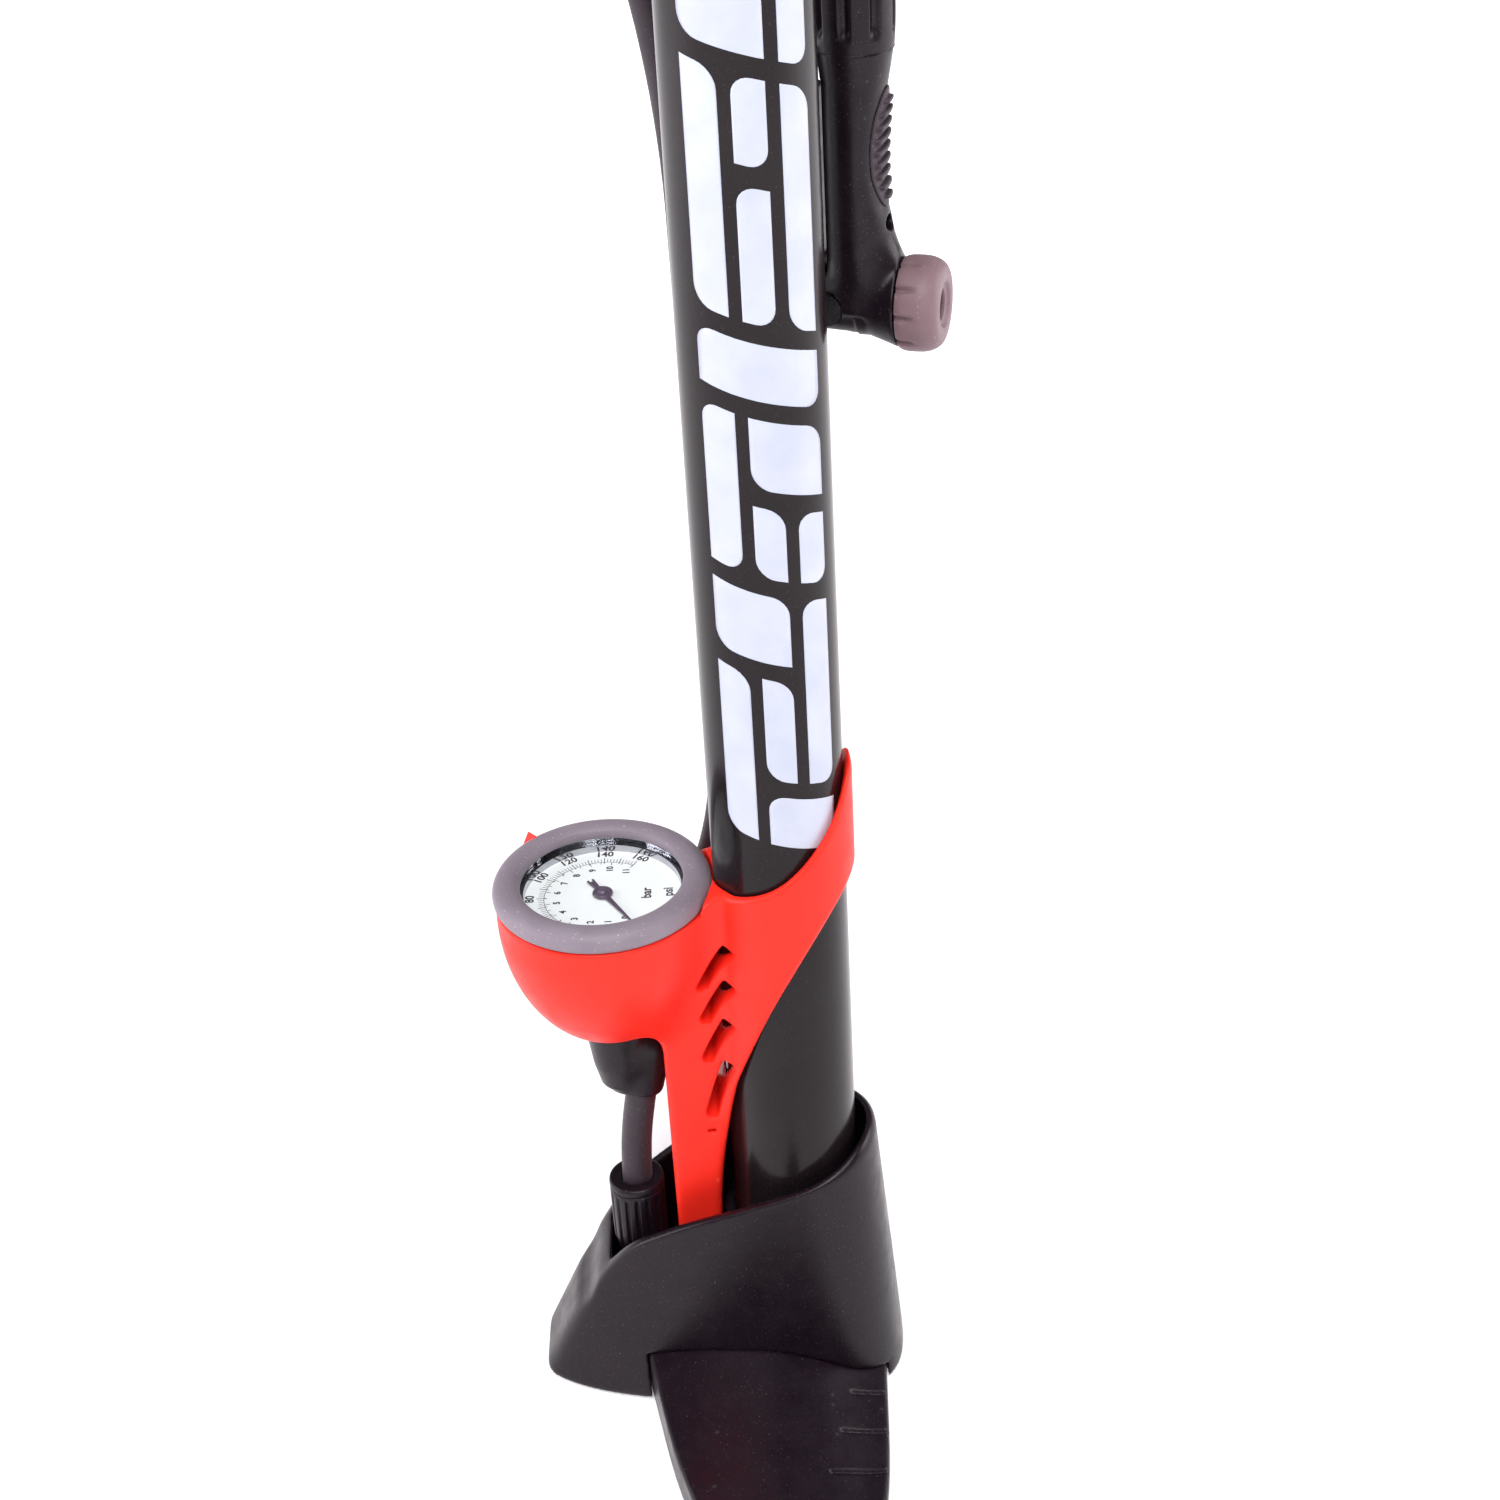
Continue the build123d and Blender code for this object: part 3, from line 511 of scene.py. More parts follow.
def shoe(s, inset=0.0):
    """The base's rounded outline, leaning in as it rises: blunt at the nose, round at the rear."""
    front = s.y < 0
    half = SHOE_HALF_WIDTH - SHOE_SIDE_DRAFT * s.z - inset
    nose = NOSE + NOSE_ROUNDING - SHOE_NOSE_DRAFT * s.z - inset
    rear = SHOE_REAR - SHOE_SIDE_DRAFT * s.z - inset
    power = np.where(front, 2.35, 3 - s.z / 94)
    reach = np.where(front, nose, rear)
    size = ((np.abs(s.x) / half) ** power + (np.abs(s.y) / reach) ** power) ** (1 / power)
    return true_distance(size - 1, s.step)


def wing_height(s):
    return np.interp(s.y, *WING_TOP.T) * (1 - WING_THINNING * (np.abs(s.x) - WING_ROOT_X) / WING_REACH)


def wings(s, grow=0.0, edge=0.0):
    """Both foot rests, which taper and thin towards their ends."""
    plan = outline_distance(np.abs(s.x), s.y, WING_PLAN) - grow
    return keep(plan, (s.z - wing_height(s) - grow) / 1.05, edge)


def make_foot():
    s = Solid((-119.5, -51, 0.6), (119.5, 27, 23.5), 0.6)
    body = keep(wings(s, edge=1.5), 1.5 - s.z, 0.8)
    body = add(body, s.block((-21, -46, 1.5), (21, 22, 6.3)))
    depth = wing_height(s) - 0.9 - s.z
    turn = math.radians(14)
    for i in range(5):
        reach = 14 + 4 * i
        dx, dy = np.abs(s.x) - (36 + 15.5 * i), s.y - (27 - reach / 2)
        across = dx * math.cos(turn) + dy * math.sin(turn)
        along = dy * math.cos(turn) - dx * math.sin(turn)
        groove = np.maximum(np.abs(across) - 0.55, np.abs(along) - reach / 2)
        body = cut(body, np.maximum(groove, depth), 0.4)
    for x, y in ((-13, -22), (13, -22), (-13, 14), (13, 14), (0, -30)):
        body = cut(body, keep(s.round_z(4.2, x, y), s.z - 4))
        body = cut(body, s.round_z(2.1, x, y))
    add_piece("foot_moulding", moulded("foot_moulding", s, body), "foot_black", "pump",
              ["foot_plate"])


def make_base():
    s = Solid((-32, -85.5, 0), (32, 34, 95), 0.75)
    face = (-s.y - (NOSE - 0.4 - SHOE_NOSE_DRAFT * s.z)) / math.hypot(1, SHOE_NOSE_DRAFT)
    outer = keep(shoe(s), face, 3.0)
    outer = keep(outer, 1.0 - s.z, 1.6)
    rim = np.interp(s.y, *RIM.T)
    slope = np.gradient(RIM[:, 1], RIM[:, 0])
    steep = np.sqrt(1 + np.interp(s.y, RIM[:, 0], slope) ** 2)
    rear = np.clip((s.y - 6) / 16, 0, 1)
    ledge = np.clip(-outer - 1.5, 0, 9) * 0.3 * (1 - rear)
    body = keep(outer, (s.z - rim - 1.2 + ledge) / steep, 0.8 + 4.2 * rear)
    pocket = keep(keep(keep(shoe(s, SHOE_WALL), face + SHOE_WALL), s.y + 7), BRACKET_FOOT_Z - s.z)
    pocket = cut(pocket, keep(s.round_z(22.4), s.z - 56), 1.0)
    body = cut(body, pocket, 0.9)
    body = cut(body, keep(s.round_z(BARREL_R + 0.05), 18 - s.z))
    body = cut(body, keep(s.round_z(BARREL_R + 2.3, 0, 0.9), 62 - s.z), 1.0)
    boss = keep(s.round_z(8, 0, OUTLET_Y), s.between(s.z, 20, 34))
    body = cut(add(body, boss, 1.0), s.round_z(4, 0, OUTLET_Y))
    body = cut(body, wings(s, grow=0.3), 0.5)
    body = cut(body, s.block((-WING_ROOT_X, -46, -1), (WING_ROOT_X, 22, 6.5)))
    body = cut(body, s.block((-2.2, 26.8, 26), (2.2, 40, 44), 0.8), 0.5)
    add_piece("base_shell", moulded("base_shell", s, body), "body_black", "pump",
              ["base_body"])


# ---------------------------------------------------------------- red bracket
BRACKET_SIDE = np.vstack([
    smooth_line([(-36.9, 172), (-22, 179.3), (-4.8, 185.7), (5, 192.6), (14.6, 204), (19.6, 216)]),
    [(21, 218), (22.4, 215)],
    smooth_line([(22.4, 184.8), (13.6, 175.2), (3.7, 160.4), (-6.2, 141), (-16, 113.3), (-20.8, 88),
                 (-23.3, 60)]),
    [(-23.3, BRACKET_FOOT_Z), (-36.9, BRACKET_FOOT_Z)]])
SLOTS = [((-15.7, 164), (-24.6, 149.5)), ((-16.0, 151.4), (-24.3, 136.1)),
         ((-16.9, 137.1), (-24.4, 121.4)), ((-17.8, 121.6), (-24.1, 99.8))]
SLOT_HALF = 1.8
SLOT_BOW = 0.35


def leaning_slot(s, top, low):
    """A slot with a round lower end, a squared top and a slight bow."""
    length = math.dist(top, low)
    ay, az = (top[0] - low[0]) / length, (top[1] - low[1]) / length
    dy, dz = s.y - low[0], s.z - low[1]
    along = dy * ay + dz * az
    across = dy * az - dz * ay + SLOT_BOW * np.sin(np.clip(along / length, 0, 1) * math.pi)
    straight = np.maximum(np.abs(across) - SLOT_HALF, np.maximum(along - length, SLOT_HALF - along))
    return add(straight, np.sqrt(across ** 2 + (along - SLOT_HALF) ** 2) - SLOT_HALF)


def bowl_shape(s, wall=0.0):
    """The gauge's bowl: half an ellipsoid that runs up into a straight rim."""
    r, depth = BOWL_R - wall, BOWL_DEPTH - wall
    below = s.ball((0, GAUGE_Y, BOWL_Z), (r, r, depth))
    return np.where(s.z < BOWL_Z, below, s.round_z(r, 0, GAUGE_Y))


def make_bracket():
    s = Solid((-32.3, -82.5, 21.4), (32.3, 23.5, 219), 0.68)
    side = outline_distance(s.y, s.z, BRACKET_SIDE)
    half = np.interp(s.z, (20, 130, 225), (8, 12, 14))
    web = keep(keep(side, np.abs(s.x) - half, 2.2), s.y - 2)
    collar = keep(side, s.round_z(COLLAR_R), 1.8)
    bowl = keep(bowl_shape(s), s.z - BOWL_RIM_Z, 0.6)
    body = add(add(web, collar, 2.5), bowl, 9.0)
    body = cut(body, bowl_shape(s, BOWL_WALL))
    body = cut(body, s.round_z(BARREL_R + 0.05), 1.2)
    body = cut(body, keep(s.round_z(BEZEL_R + 0.5, 0, GAUGE_Y), BOWL_RIM_Z - s.z))
    body = cut(body, keep(s.round_z(6, 0, GAUGE_Y), s.z - 160))
    for top, low in SLOTS:
        body = cut(body, leaning_slot(s, top, low), 0.5)
    eye = np.sqrt(((s.y + 24.2) * 0.8) ** 2 + ((s.z - 94.5) * 1.5) ** 2) - 1.15
    body = cut(body, eye, 0.4)
    body = cut(body, keep(s.round_z(1.7, 0, -30), s.z - 40))
    add_piece("bracket_moulding", moulded("bracket_moulding", s, body), "red_plastic", "pump",
              ["gauge_bracket"])


# ---------------------------------------------------------------- gauge
GAUGE = Matrix.Translation((0, GAUGE_Y, 0))
FULL_SCALE = 160
DEGREES_EACH = 1.5
PSI_IN_BAR = 14.504
MARKER_TURN = math.radians(223)


def dial_direction(psi):
    """Unit vector on the dial for a pressure; half scale points to the nose."""
    t = math.radians(DEGREES_EACH * (psi - FULL_SCALE / 2))
    return Vector((-math.sin(t), -math.cos(t), 0))


def make_bezel():
    outer = smooth_line([(30.2, 176.4), (31.1, 177.4), (BEZEL_R, 178.9), (30.9, 180.4), (29.6, 181.8),
                         (27.6, 182.6), (25.4, 182.5), (23.9, 181.7), (OPENING_R, 180.6)], 8)
    inner = [(OPENING_R, 179.3), (OPENING_R + 0.1, 179.15), (25.6, 179.15), (25.6, 176.4)]
    mesh = turned("bezel_ring", np.vstack([outer, inner]), 160, place=GAUGE)
    add_piece("bezel_ring", mesh, "bezel_grey", "bezel", ["gauge_bezel"])

    s = Solid((27.4, -3.2, 177.6), (33.4, 3.2, 184), 0.12)
    steep = 1.45
    wedge = (np.abs(s.y) * steep + s.z - 183.0) / math.hypot(1, steep)
    wedge = keep(keep(wedge, s.between(s.x, 28.4, 32.3), 0.5), 178.6 - s.z, 0.4)
    turn = GAUGE @ Matrix.Rotation(MARKER_TURN, 4, "Z")
    add_piece("pressure_marker", moulded("pressure_marker", s, wedge, turn), "red_plastic", "bezel",
              ["bezel_marker"])


def dial_text(words, radius, direction, size, radial):
    """Printed characters as a flat mesh, upright towards the nose or turned with the dial."""
    curve = bpy.data.curves.new("text", "FONT")
    curve.body = words
    curve.size = size * MM
    curve.align_x = "CENTER"
    curve.align_y = "CENTER"
    curve.resolution_u = 3
    curve.offset = 0.10 * MM
    obj = bpy.data.objects.new("text", curve)
    mesh = bpy.data.meshes.new_from_object(obj)
    bpy.data.objects.remove(obj)
    up = direction if radial else Vector((0, -1, 0))
    side = up.cross(Vector((0, 0, 1)))
    at = (Vector((0, GAUGE_Y, DIAL_Z + 0.03)) + direction * radius) * MM
    mesh.transform(Matrix((
        (side.x, up.x, 0, at.x), (side.y, up.y, 0, at.y), (0, 0, 1, at.z), (0, 0, 0, 1))))
    return mesh


def dial_tick(work, psi, start, end, width):
    direction = dial_direction(psi)
    side = Vector((direction.y, -direction.x, 0)) * width / 2
    middle = Vector((0, GAUGE_Y, DIAL_Z + 0.03))
    corners = [middle + direction * start - side, middle + direction * end - side,
               middle + direction * end + side, middle + direction * start + side]
    work.faces.new([work.verts.new(c * MM) for c in corners])


def make_dial_print():
    work = bmesh.new()
    for psi in range(0, FULL_SCALE + 1, 2):
        start, end, width = (16.2, 19.0, 0.24) if psi % 10 == 0 else (17.0, 18.5, 0.16)
        dial_tick(work, psi, start, end, width)
    for half_bar in range(23):
        dial_tick(work, half_bar * PSI_IN_BAR / 2, 15.3 if half_bar % 2 == 0 else 15.9, 16.7, 0.2)
    for i in range(FULL_SCALE // 2):
        dial_tick(work, 2 * i + 1, 16.78, 16.94, 2 * 16.9 * math.tan(math.radians(DEGREES_EACH)))
    texts = [dial_text(str(v), 20.9, dial_direction(v), 3.5, True) for v in range(0, FULL_SCALE + 1, 20)]
    texts += [dial_text(str(v), 13.3, dial_direction(v * PSI_IN_BAR), 2.7, False) for v in range(12)]
    texts.append(dial_text("bar", 12.6, Vector((0, 1, 0)), 3.9, False))
    texts.append(dial_text("psi", 18.8, Vector((0, 1, 0)), 3.9, False))
    for mesh in texts:
        work.from_mesh(mesh)
        bpy.data.meshes.remove(mesh)
    bmesh.ops.recalc_face_normals(work, faces=work.faces)
    for face in work.faces:
        if face.normal.z < 0:
            face.normal_flip()
    mesh = bpy.data.meshes.new("dial_print")
    work.to_mesh(mesh)
    work.free()
    add_piece("dial_print", mesh, "dial_ink", "pump", smooth=False)


def make_needle():
    s = Solid((-8.6, -3.8, 0.1), (19.4, 3.8, 2.6), 0.13)
    half = np.interp(s.x, (-7.5, -2, 2, 18.6), (1.15, 0.75, 0.85, 0.22))
    blade = keep(keep(np.abs(s.y) - half, s.between(s.x, -7.6, 18.6)), s.between(s.z, 0.7, 1.2), 0.25)
    blade = cut(blade, s.block((-9, -0.45, 0), (-6.5, 0.45, 3)))
    boss = keep(s.round_z(3.0), s.between(s.z, 0.45, 1.55), 0.9)
    body = add(blade, boss, 0.5)
    body = add(body, s.ball((0, 0, 1.5), (1.3, 1.3, 0.75)), 0.3)
    place = Matrix.Translation((0, GAUGE_Y, DIAL_Z)) @ Matrix.Rotation(math.radians(30), 4, "Z")
    add_piece("pointer", moulded("pointer", s, body, place), "needle_grey", "needle",
              ["gauge_needle"])


# ---------------------------------------------------------------- hoses and tee
def hose_curve(name, route, diameter):
    curve = bpy.data.curves.new(name, "CURVE")
    curve.dimensions = "3D"
    curve.bevel_depth = diameter / 2
    curve.bevel_resolution = 8
    curve.resolution_u = 12
    curve.use_fill_caps = True
    spline = curve.splines.new("NURBS")
    spline.points.add(len(route) - 1)
    for point, place in zip(spline.points, route):
        point.co = (*place, 1.0)
    spline.order_u = 3
    spline.use_endpoint_u = True
    obj = bpy.data.objects.new(name, curve)
    bpy.context.scene.collection.objects.link(obj)
    curve.materials.append(MATERIALS["hose_rubber"])
    return obj


def metres(route):
    return [tuple(v * MM for v in point) for point in route]


def make_hoses():
    long_hose = hose_curve("main_hose_tube", metres(HOSE_ROUTE), HOSE_D * MM)
    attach(long_hose, "pump")
    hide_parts("main_hose")
    short_hose = hose_curve("lower_hose_tube", metres(SHORT_ROUTE), HOSE_D * MM)
    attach(short_hose, "pump")
    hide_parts("lower_hose")


def make_tee():
    s = Solid((-31, -62, 103), (12, -22, 148), 0.45)
    stem = s.turned(np.sqrt(s.x ** 2 + (s.y + 50) ** 2), s.z,
                    np.array([(0, 135), (10.6, 135), (8.3, 116), (6.7, 109), (4.4, 106.2), (0, 105.5)]))
    lower = s.rod((0, -44.8, 105.3), (0, -41.3, 120.9), 6.6)
    lower = keep(lower, 93.3 - 0.214 * s.y - 0.977 * s.z, 1.2)
    port = np.array(HOSE_ROUTE[0])
    aim = np.array(HOSE_ROUTE[1]) - port
    aim = aim / np.linalg.norm(aim)
    collar = s.rod(tuple(port - 9 * aim), tuple(port + 9 * aim), 6.3)
    face = (s.x - port[0]) * aim[0] + (s.y - port[1]) * aim[1] + (s.z - port[2]) * aim[2]
    collar = keep(collar, face - 4.0, 1.4)
    neck = s.rod((-1, -48, 120), tuple(port - 7 * aim), 7.2, 6.0)
    body = add(add(stem, lower, 3.0), add(neck, collar, 1.5), 4.0)
    body = cut(body, bowl_shape(s))
    add_piece("tee_moulding", moulded("tee_moulding", s, body), "head_black", "pump",
              ["gauge_tee"])


def make_hose_nut():
    profile = smooth_line([(5.0, 37.3), (6.0, 37.6), (7.2, 42), (8.2, 46.5), (8.45, 50), (8.45, 58),
                           (8.45, 66.5), (8.1, 67.3), (8.5, 68), (8.4, 69.6), (7.6, 70.2), (5.0, 70.2)], 4)

    def flutes(angle, radius, z):
        depth = 0.75 * np.clip(min(z - 44, 66.3 - z) / 1.2, 0, 1) if radius > 7.3 else 0
        return radius - depth * np.clip(1.6 * math.cos(16 * angle) - 0.3, 0, 1)

    mesh = turned("hose_nut_moulding", profile, 192, flutes, Matrix.Translation((0, OUTLET_Y, 0)))
    add_piece("hose_nut_moulding", mesh, "head_black", "pump", ["hose_nut"])


# ---------------------------------------------------------------- barrel, cap and handle
def make_barrel():
    z0, z1 = barrel_low[2], barrel_high[2]
    bore = BARREL_R - 1.5
    profile = [(bore, z0), (BARREL_R - 0.3, z0), (BARREL_R, z0 + 0.3)]
    profile += [(BARREL_R, z) for z in np.linspace(z0 + 20, z1 - 20, 12)]
    profile += [(BARREL_R, z1 - 0.3), (BARREL_R - 0.3, z1), (bore, z1)]
    mesh = turned("barrel_tube", profile, 192)
    mesh.set_sharp_from_angle(angle=math.radians(35))
    add_piece("barrel_tube", mesh, "barrel_paint", "pump", ["barrel"])


BAR_START = 206.0
BAR_SLANT = 0.32
BARS = [    # first and last angle on the barrel, height above the start, length along it
    (-44, -16, 0, 52), (-6, 56, 0, 16), (-6, 18.5, 21, 31), (29.5, 56, 21, 56),
    (-44, 18.5, 57, 20), (-44, -16, 82, 44), (-6, 18.5, 82, 20), (29.5, 56, 82, 20),
    (-6, 56, 107, 19), (-44, 56, 131, 15), (-44, -16, 151, 60), (-6, 18.5, 151, 34),
    (29.5, 56, 151, 60), (-6, 18.5, 190, 21), (-44, 18.5, 216, 18), (29.5, 56, 216, 38),
    (-44, -16, 239, 15), (-6, 18.5, 239, 15)]


def make_barrel_bars():
    """A printed pattern of wide and narrow slanted bars, each rounded at two opposite corners."""
    points, faces = [], []
    radius = BARREL_R + 0.05
    across = 16
    corner = 5.0
    fillet = corner * (1 - np.cos(np.linspace(0, math.pi / 2, 7)))
    for index, (first, last, height, length) in enumerate(BARS):
        width = math.radians(last - first) * BARREL_R
        flip = index % 2 == 0
        rows = np.unique(np.concatenate([fillet, length - fillet]))
        start = len(points)
        for z in rows:
            near, far = max(corner - z, 0), max(z - (length - corner), 0)
            left = corner - math.sqrt(corner ** 2 - (near if flip else far) ** 2)
            right = corner - math.sqrt(corner ** 2 - (far if flip else near) ** 2)
            for k in range(across + 1):
                u = left + (width - left - right) * k / across
                angle = math.radians(first) + u / BARREL_R
                slant = BAR_SLANT * (u + math.radians(first + 44) * BARREL_R)
                points.append((radius * math.cos(angle), radius * math.sin(angle),
                               BAR_START + height + z - slant))
        for row in range(len(rows) - 1):
            for k in range(across):
                a = start + row * (across + 1) + k
                faces.append((a, a + 1, a + across + 2, a + across + 1))
    mesh = mesh_of("barrel_bars", points, faces)
    middle = mesh.polygons[0]
    if middle.normal.dot(Vector((middle.center.x, middle.center.y, 0))) < 0:
        mesh.flip_normals()
    bars = add_piece("barrel_bars", mesh, "decal_ink", "pump")
    thick = bars.modifiers.new("ink", "SOLIDIFY")
    thick.thickness = 0.08 * MM
    thick.offset = 0


def make_cap():
    s = Solid((-38, -24, 565), (24, 24, 602.5), 0.5)
    top, z0 = cap_high[2], cap_low[2]
    body = s.turned(s.round_z(0), s.z, np.array([(0, z0), (22.5, z0), (22.5, 588), (21.5, 592), (15, top),
                                                 (0, top)]))
    ribs = np.cos(24 * np.arctan2(s.y, s.x)) * 0.45 * np.clip(4 - np.abs(s.z - 577) / 2.2, 0, 1)
    body = body + ribs * (s.round_z(0) > 20)
    arm = keep(s.block((-37, -7, 577), (-15, 7, top), 1.2), -s.round_x(40, 0, 640), 1.2)
    body = add(body, arm, 2.5)
    body = cut(body, s.round_y(HOSE_D / 2 + 0.3, -29, 595), 0.6)
    body = cut(body, s.block((-32.6, -20, 595), (-25.4, 20, 620)), 0.6)
    body = cut(body, keep(s.round_z(BARREL_R + 0.05), s.z - barrel_high[2]))
    body = cut(body, keep(s.round_z(15.5), s.z - 590))
    body = cut(body, s.round_z(9), 0.8)
    add_piece("cap_moulding", moulded("cap_moulding", s, body), "body_black", "pump",
              ["top_cap"])


def make_handle():
    s = Solid((-21, -16, 605), (21, 16, 642), 0.45)
    hub = s.turned(s.round_z(0), s.z, np.array([
        (0, 606), (10, 606), (13.5, 612), (14.5, 625), (12.5, 638), (9, 641), (0, 641)]))
    arms = keep(s.round_x(12.2, 0, HANDLE_Z), np.abs(s.x) - 19.9, 1.2)
    body = cut(add(hub, arms, 5.0), s.round_z(3.0))
    body = cut(body, keep(s.round_z(5.6), 635 - s.z), 0.6)
    body = cut(body, keep(s.round_z(5.0), s.z - 623))
    add_piece("handle_moulding", moulded("handle_moulding", s, body), "body_black", "handle",
              ["handle_core"])
    for label, side in (("left", -1), ("right", 1)):
        # Z of the turned shapes runs outwards along the bar.
        outwards = Matrix.Translation((0, 0, HANDLE_Z)) @ Matrix.Rotation(side * math.pi / 2, 4, "Y")
        line = smooth_line([(12.4, 20), (14.2, 27), (15.3, 48), (14.4, 72), (15.2, 92), (14.2, 101),
                            (12.6, 104)], 24)

        def ribs(angle, radius, x):
            if radius < 11 or not 30 < x < 98:
                return radius
            return radius - 0.55 * max(math.cos((x - 30) * 2 * math.pi / 4.0), 0) ** 3

        mesh = turned(f"grip_rubber_{label}", np.vstack([line, [(8, 104), (8, 20)]]), 96, ribs, outwards)
        add_piece(f"grip_rubber_{label}", mesh, "grip_rubber", "handle", [f"grip_{label}"])
        crown = smooth_line([(13.4, 104.4), (13.4, 106.6), (12.8, 109), (11.2, 111), (8.0, 112)], 5)
        cap = np.vstack([[(0, 104), (13.0, 104)], crown, [(6.5, 111.4), (0, 111.4)]])
        mesh = turned(f"grip_end_{label}", cap, 96, place=outwards, closed=False)
        mesh.set_sharp_from_angle(angle=math.radians(50))
        add_piece(f"grip_end_{label}", mesh, "body_black", "handle", [f"grip_cap_{label}"])


# ---------------------------------------------------------------- pump head
NOZZLE = HEAD @ Matrix.Rotation(-math.pi / 2, 4, "X")
SEAM = 11           # where the valve nut meets the head, along the nozzle
NECK_R = 9.0
PIN_Y = -7.5        # the lever's pin, behind the neck
THUMB_R = 14        # the thumb hollow's curve across the neck


def thumb_hollow(s):
    """Distance in front of the hollow that a thumb presses, on the nozzle's side of the neck."""
    level = np.interp(s.z, (20, 27, 34, 41, 49, 57, 65), (8.8, 6.9, 6.0, 6.1, 6.7, 8.0, 9.9))
    return np.hypot(s.x, s.y - level + THUMB_R) - THUMB_R


def make_head():
    s = Solid((-13, -14.5, -14), (13, 21, 67.5), 0.4)
    forward = s.turned(s.round_y(0), s.y, np.array([
        (0, -13), (5.5, -13), (8.0, -10.5), (8.6, 2), (10.2, 7), (11.6, SEAM), (8.9, SEAM), (8.9, 19),
        (0, 19)]))
    neck = s.turned(s.round_z(0), s.z, np.array([(0, 0), (NECK_R, 0), (NECK_R, 58), (9.8, NECK_TOP),
                                                 (0, NECK_TOP)]))
    neck = keep(neck, thumb_hollow(s), 1.5)
    shoulder = keep(s.ball((0, 3.4, 7), (8.0, 8.2, 13.5)), s.y - SEAM)
    body = add(keep(forward, s.y - SEAM), neck, 3.5)
    body = keep(add(body, shoulder, 2.5), s.y - SEAM, 0.8)
    body = add(body, keep(s.round_y(8.9), s.between(s.y, 0, 19)))
    body = cut(body, keep(s.round_y(6.2), -2.6 - s.y))
    body = cut(body, s.block((-4, -20, -9), (4, -2.5, 9)), 0.5)
    body = cut(body, s.block((-4, -20, 0), (4, -8.2, NECK_TOP - 8)), 0.5)
    body = cut(body, s.round_x(2.0, PIN_Y, 0))
    body = cut(body, keep(s.round_x(4.4, PIN_Y, 0), 7.4 - s.x), 0.3)
    eye = np.sqrt((s.x / 3.0) ** 2 + ((s.z - 21.5) / 1.9) ** 2) * 1.9 - 1.9
    body = cut(body, eye + np.maximum(4 - s.y, 0), 0.4)
    add_piece("head_moulding", moulded("head_moulding", s, body, HEAD), "head_black", "pump",
              ["head_body"])


def make_thumb_pad():
    """Oval pad in the neck's hollow, with slanting ribs that curl down at one end."""
    s = Solid((-8.6, 0.5, 24), (8.6, 12, 58), 0.26)
    out = thumb_hollow(s)
    oval = (np.sqrt((s.x / 6.4) ** 2 + ((s.z - 41) / 15.5) ** 2) - 1) * 7
    pad = keep(oval, out - 0.6, 0.6)
    wave = (s.z - 41 + 0.12 * s.x + 0.035 * np.clip(-s.x, 0, 9) ** 2) / 3.1
    rib = np.abs(wave - np.round(wave)) * 3.1 - 0.75
    ribs = keep(keep(rib, oval + 0.9, 0.5), out - 2.0, 0.6)
    body = keep(add(pad, ribs, 0.4), -out)
    add_piece("thumb_pad", moulded("thumb_pad", s, body, HEAD), "pad_rubber", "pump",
              ["grip_pad"])


def make_valve_nut():
    profile = np.vstack([
        smooth_line([(9.1, 11.2), (11.4, 11.2), (12.0, 11.8), (12.4, 13.5), (12.3, 17.8), (11.4, 20.4),
                     (10.0, 21.9), (8.2, 22.3), (6.4, 22.2), (5.3, 21.4), (4.2, 21.1)], 6),
        [(4.2, 19.6), (9.1, 19.6)]])

    def notches(angle, radius, y):
        depth = 1.3 * np.clip((16.6 - y) / 2.6, 0, 1) if radius > 11 else 0
        return radius - depth * np.clip(3 * math.cos(10 * angle) - 2, 0, 1)

    mesh = turned("nozzle_ring", profile, 200, notches, NOZZLE)
    add_piece("nozzle_ring", mesh, "nut_mauve", "nozzle_nut", ["valve_nut"])


def make_ferrule():
    profile = smooth_line([(5.0, NECK_TOP + 0.1), (9.4, NECK_TOP + 0.1), (9.8, NECK_TOP + 0.6), (10.2, 74),
                           (10.1, 84), (9.4, 96), (8.2, 104), (6.9, 109.4), (6.2, 110), (5.0, 110)], 8)

    def flutes(angle, radius, z):
        depth = 1.35 * np.clip(min(z - 69.5, 101 - z) / 2.2, 0, 1) if radius > 8 else 0
        return radius - depth * np.clip(1.5 * math.cos(8 * angle) - 0.5, 0, 1)

    mesh = turned("ferrule_moulding", profile, 192, flutes, HEAD)
    add_piece("ferrule_moulding", mesh, "head_black", "pump", ["hose_ferrule"])


def make_lever():
    s = Solid((-6.6, -19.5, -8), (6.6, -1.5, 66.5), 0.4)
    cam = keep(s.round_x(5.0, PIN_Y, -2), np.abs(s.x) - 3.7, 0.6)
    link = s.block((-3.7, -14.6, -3), (3.7, -9.1, 12), 0.6)
    arm = s.block((-5.6, -15.2, 10), (5.6, -9.9, 56), 1.3)
    lean = math.radians(18)
    dy, dz = s.y + 14.9, s.z - 58
    tab_y, tab_z = dy * math.cos(lean) - dz * math.sin(lean), dy * math.sin(lean) + dz * math.cos(lean)
    tab = keep(keep(np.abs(tab_y) - 2.1, np.abs(tab_z) - 7, 1.6), np.abs(s.x) - 5.6, 1.6)
    body = add(add(cam, link, 1.0), add(arm, tab, 2.5), 1.0)
    for i in range(4):
        groove = np.sqrt((tab_z + 4.5 - 3 * i) ** 2 + (tab_y + 2.5) ** 2) - 0.8
        body = cut(body, groove, 0.3)
    body = cut(body, s.block((-3.4, -17, 16), (3.4, -14.2, 48), 1.0), 0.5)
    body = cut(body, s.round_x(2.05, PIN_Y, 0))
    add_piece("lock_lever", moulded("lock_lever", s, body, HEAD), "head_black", "lever",
              ["head_lever"])


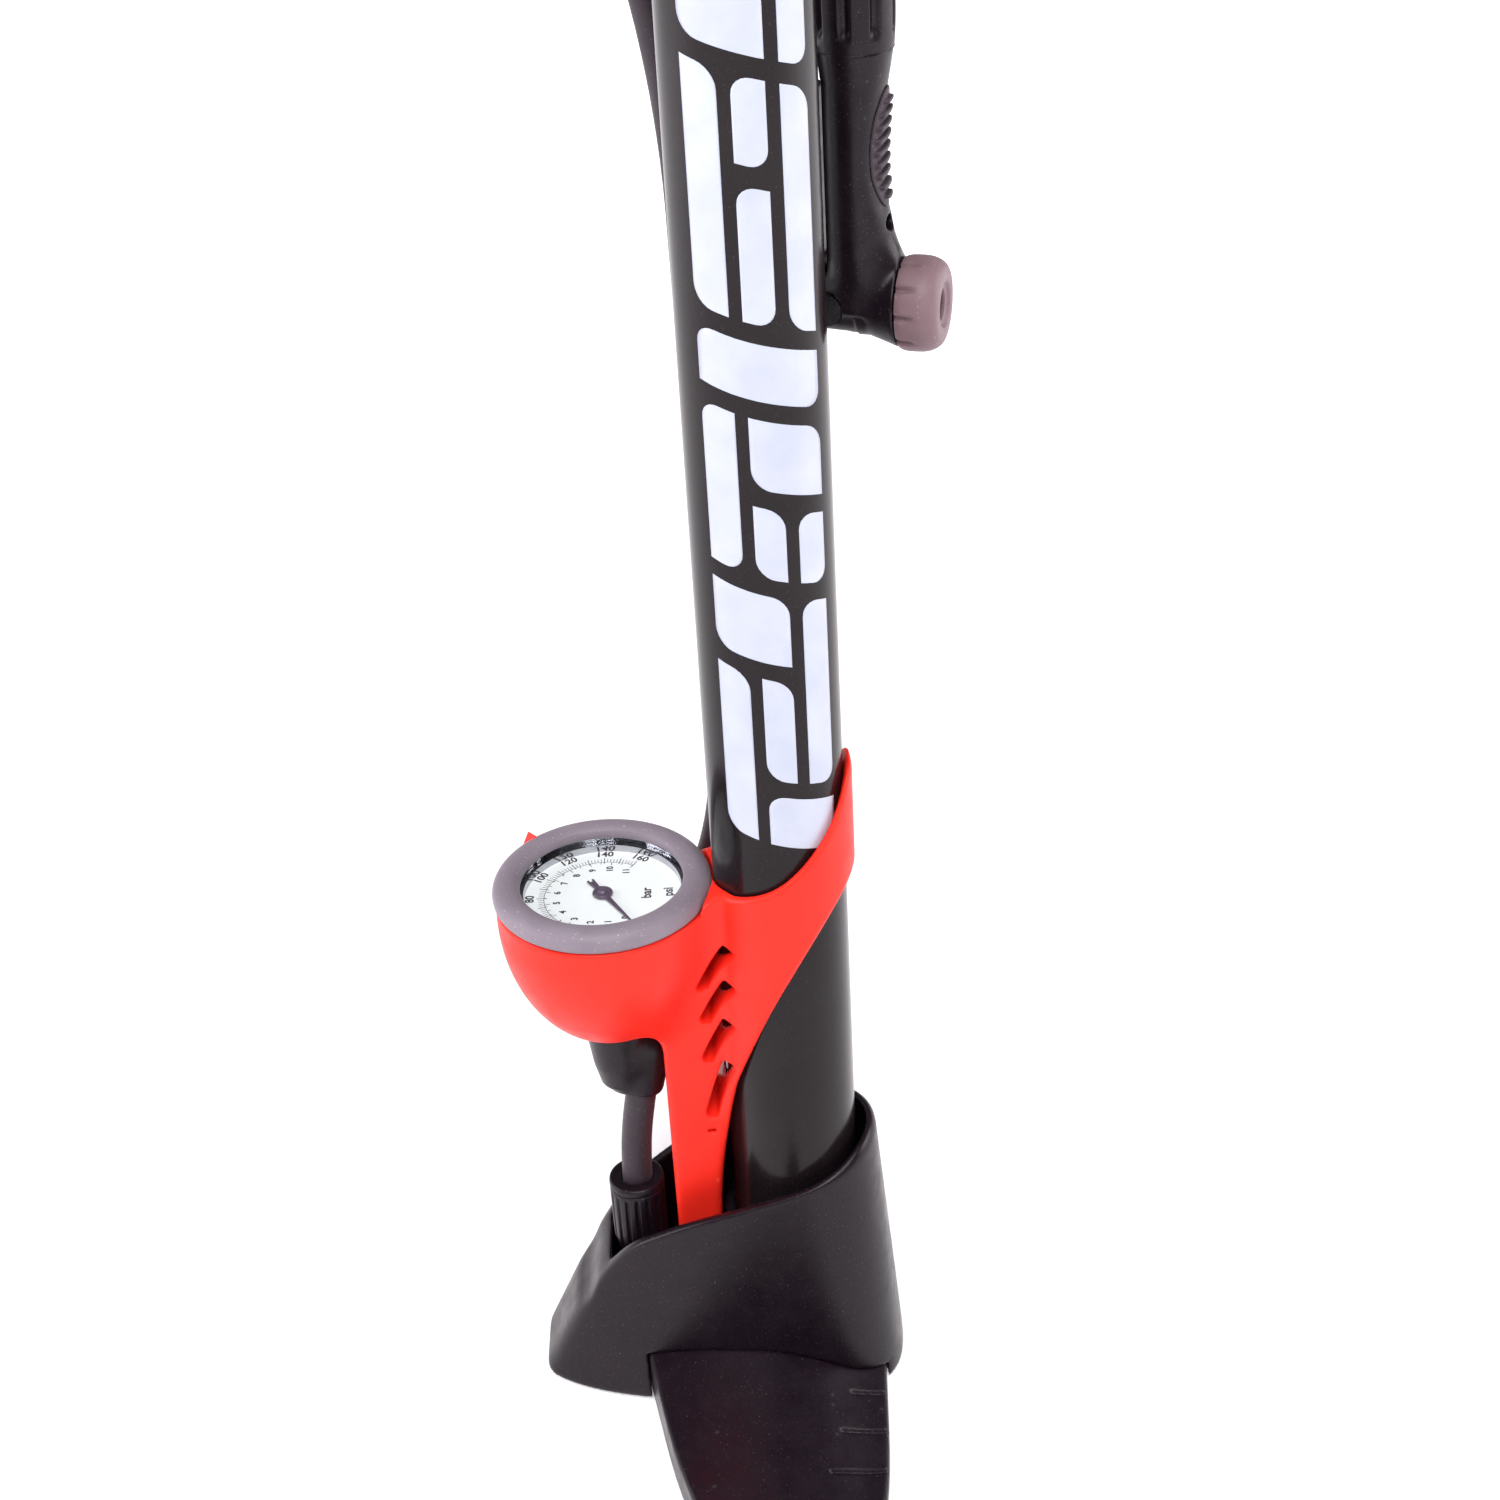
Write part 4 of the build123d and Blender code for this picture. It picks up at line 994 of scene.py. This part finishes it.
# ---------------------------------------------------------------- studio, in metres
FLOOR_HALF = 5.0


def make_floor():
    material = Finish("studio_floor", (0.9, 0.885, 0.90), 0.9, Specular_IOR_Level=0.1,
                      Emission_Color=(1.0, 0.985, 1.0, 1))
    material.mottled((0.88, 0.865, 0.885), 60, 0.4)
    # The floor glows, weakly near the pump and strongly far off: painted light on the floor, with painted
    # shade round the pump.
    away = add_node(material.tree, "ShaderNodeVectorMath", {"operation": "LENGTH"},
                    Vector=material.place).outputs["Value"]
    painted_floor_glow = material.between(away, 0.35, 1.7, 0.30, 1.1)
    material.tree.links.new(painted_floor_glow, material.shader.inputs["Emission Strength"])
    half = FLOOR_HALF
    mesh = bpy.data.meshes.new("studio_floor")
    mesh.from_pydata([(-half, -half, 0), (half, -half, 0), (half, half, 0), (-half, half, 0)], [],
                     [(0, 1, 2, 3)])
    floor = bpy.data.objects.new("studio_floor", mesh)
    bpy.context.scene.collection.objects.link(floor)
    mesh.materials.append(material.done())


def soft_box(name, at, size, power, colour=(1, 1, 1)):
    light = bpy.data.lights.new(name, "AREA")
    light.shape = "RECTANGLE"
    light.size, light.size_y = size
    light.energy = power
    light.color = colour
    obj = bpy.data.objects.new(name, light)
    obj.location = at
    obj.rotation_euler = (Vector((0, 0, 0.2)) - Vector(at)).to_track_quat("-Z", "Y").to_euler()
    bpy.context.scene.collection.objects.link(obj)


def make_lights():
    world = bpy.data.worlds.new("studio")
    world.use_nodes = True
    sky = world.node_tree.nodes["Background"]
    sky.inputs["Color"].default_value = (0.95, 0.93, 1.0, 1)
    sky.inputs["Strength"].default_value = 0.14
    tree = world.node_tree
    backdrop = add_node(tree, "ShaderNodeBackground", Color=(1.0, 0.99, 1.0, 1), Strength=0.95)
    seen = add_node(tree, "ShaderNodeLightPath").outputs["Is Camera Ray"]
    mix = add_node(tree, "ShaderNodeMixShader")
    feed(tree, mix.inputs[0], seen)
    feed(tree, mix.inputs[1], sky.outputs[0])
    feed(tree, mix.inputs[2], backdrop.outputs[0])
    feed(tree, tree.nodes["World Output"].inputs["Surface"], mix.outputs[0])
    bpy.context.scene.world = world
    soft_box("overhead", (1.1, 0.0, 1.9), (1.2, 1.6), 54)
    soft_box("nose_side", (0.1, -1.8, 0.8), (1.2, 1.2), 25, (1.0, 0.95, 1.0))
    soft_box("rear_side", (-0.3, 1.8, 0.8), (1.2, 1.2), 25, (1.0, 0.95, 0.98))


def make_camera():
    """A camera above the right-hand foot rest, rolled a few degrees."""
    data = bpy.data.cameras.new("photo_camera")
    data.sensor_width = 36.0
    data.lens = 57.88
    camera = bpy.data.objects.new("photo_camera", data)
    bpy.context.scene.collection.objects.link(camera)
    turn, drop, roll = math.radians(0.29), math.radians(31.34), math.radians(-3.36)
    forward = Vector((-math.cos(turn) * math.cos(drop), -math.sin(turn) * math.cos(drop), -math.sin(drop)))
    right = forward.cross(Vector((0, 0, 1))).normalized()
    up = right.cross(forward)
    x_axis = math.cos(roll) * right + math.sin(roll) * up
    y_axis = -math.sin(roll) * right + math.cos(roll) * up
    place = Matrix((x_axis, y_axis, -forward)).transposed().to_4x4()
    place.translation = (0.5683, -0.0035, 0.5669)
    camera.matrix_world = place
    bpy.context.scene.camera = camera


MATERIALS = make_materials()
make_camera()
make_hoses()
for part in frame["record"]["subparts"]:
    for holder in frame["nodes"][part["node"]].material_slots:
        holder.material = MATERIALS[part["material_slot"]]
make_foot()
make_base()
make_bracket()
make_bezel()
make_dial_print()
make_needle()
make_tee()
make_hose_nut()
make_barrel()
make_barrel_bars()
make_cap()
make_handle()
make_head()
make_thumb_pad()
make_valve_nut()
make_ferrule()
make_lever()
make_floor()
make_lights()
bpy.context.scene.view_settings.view_transform = "Standard"
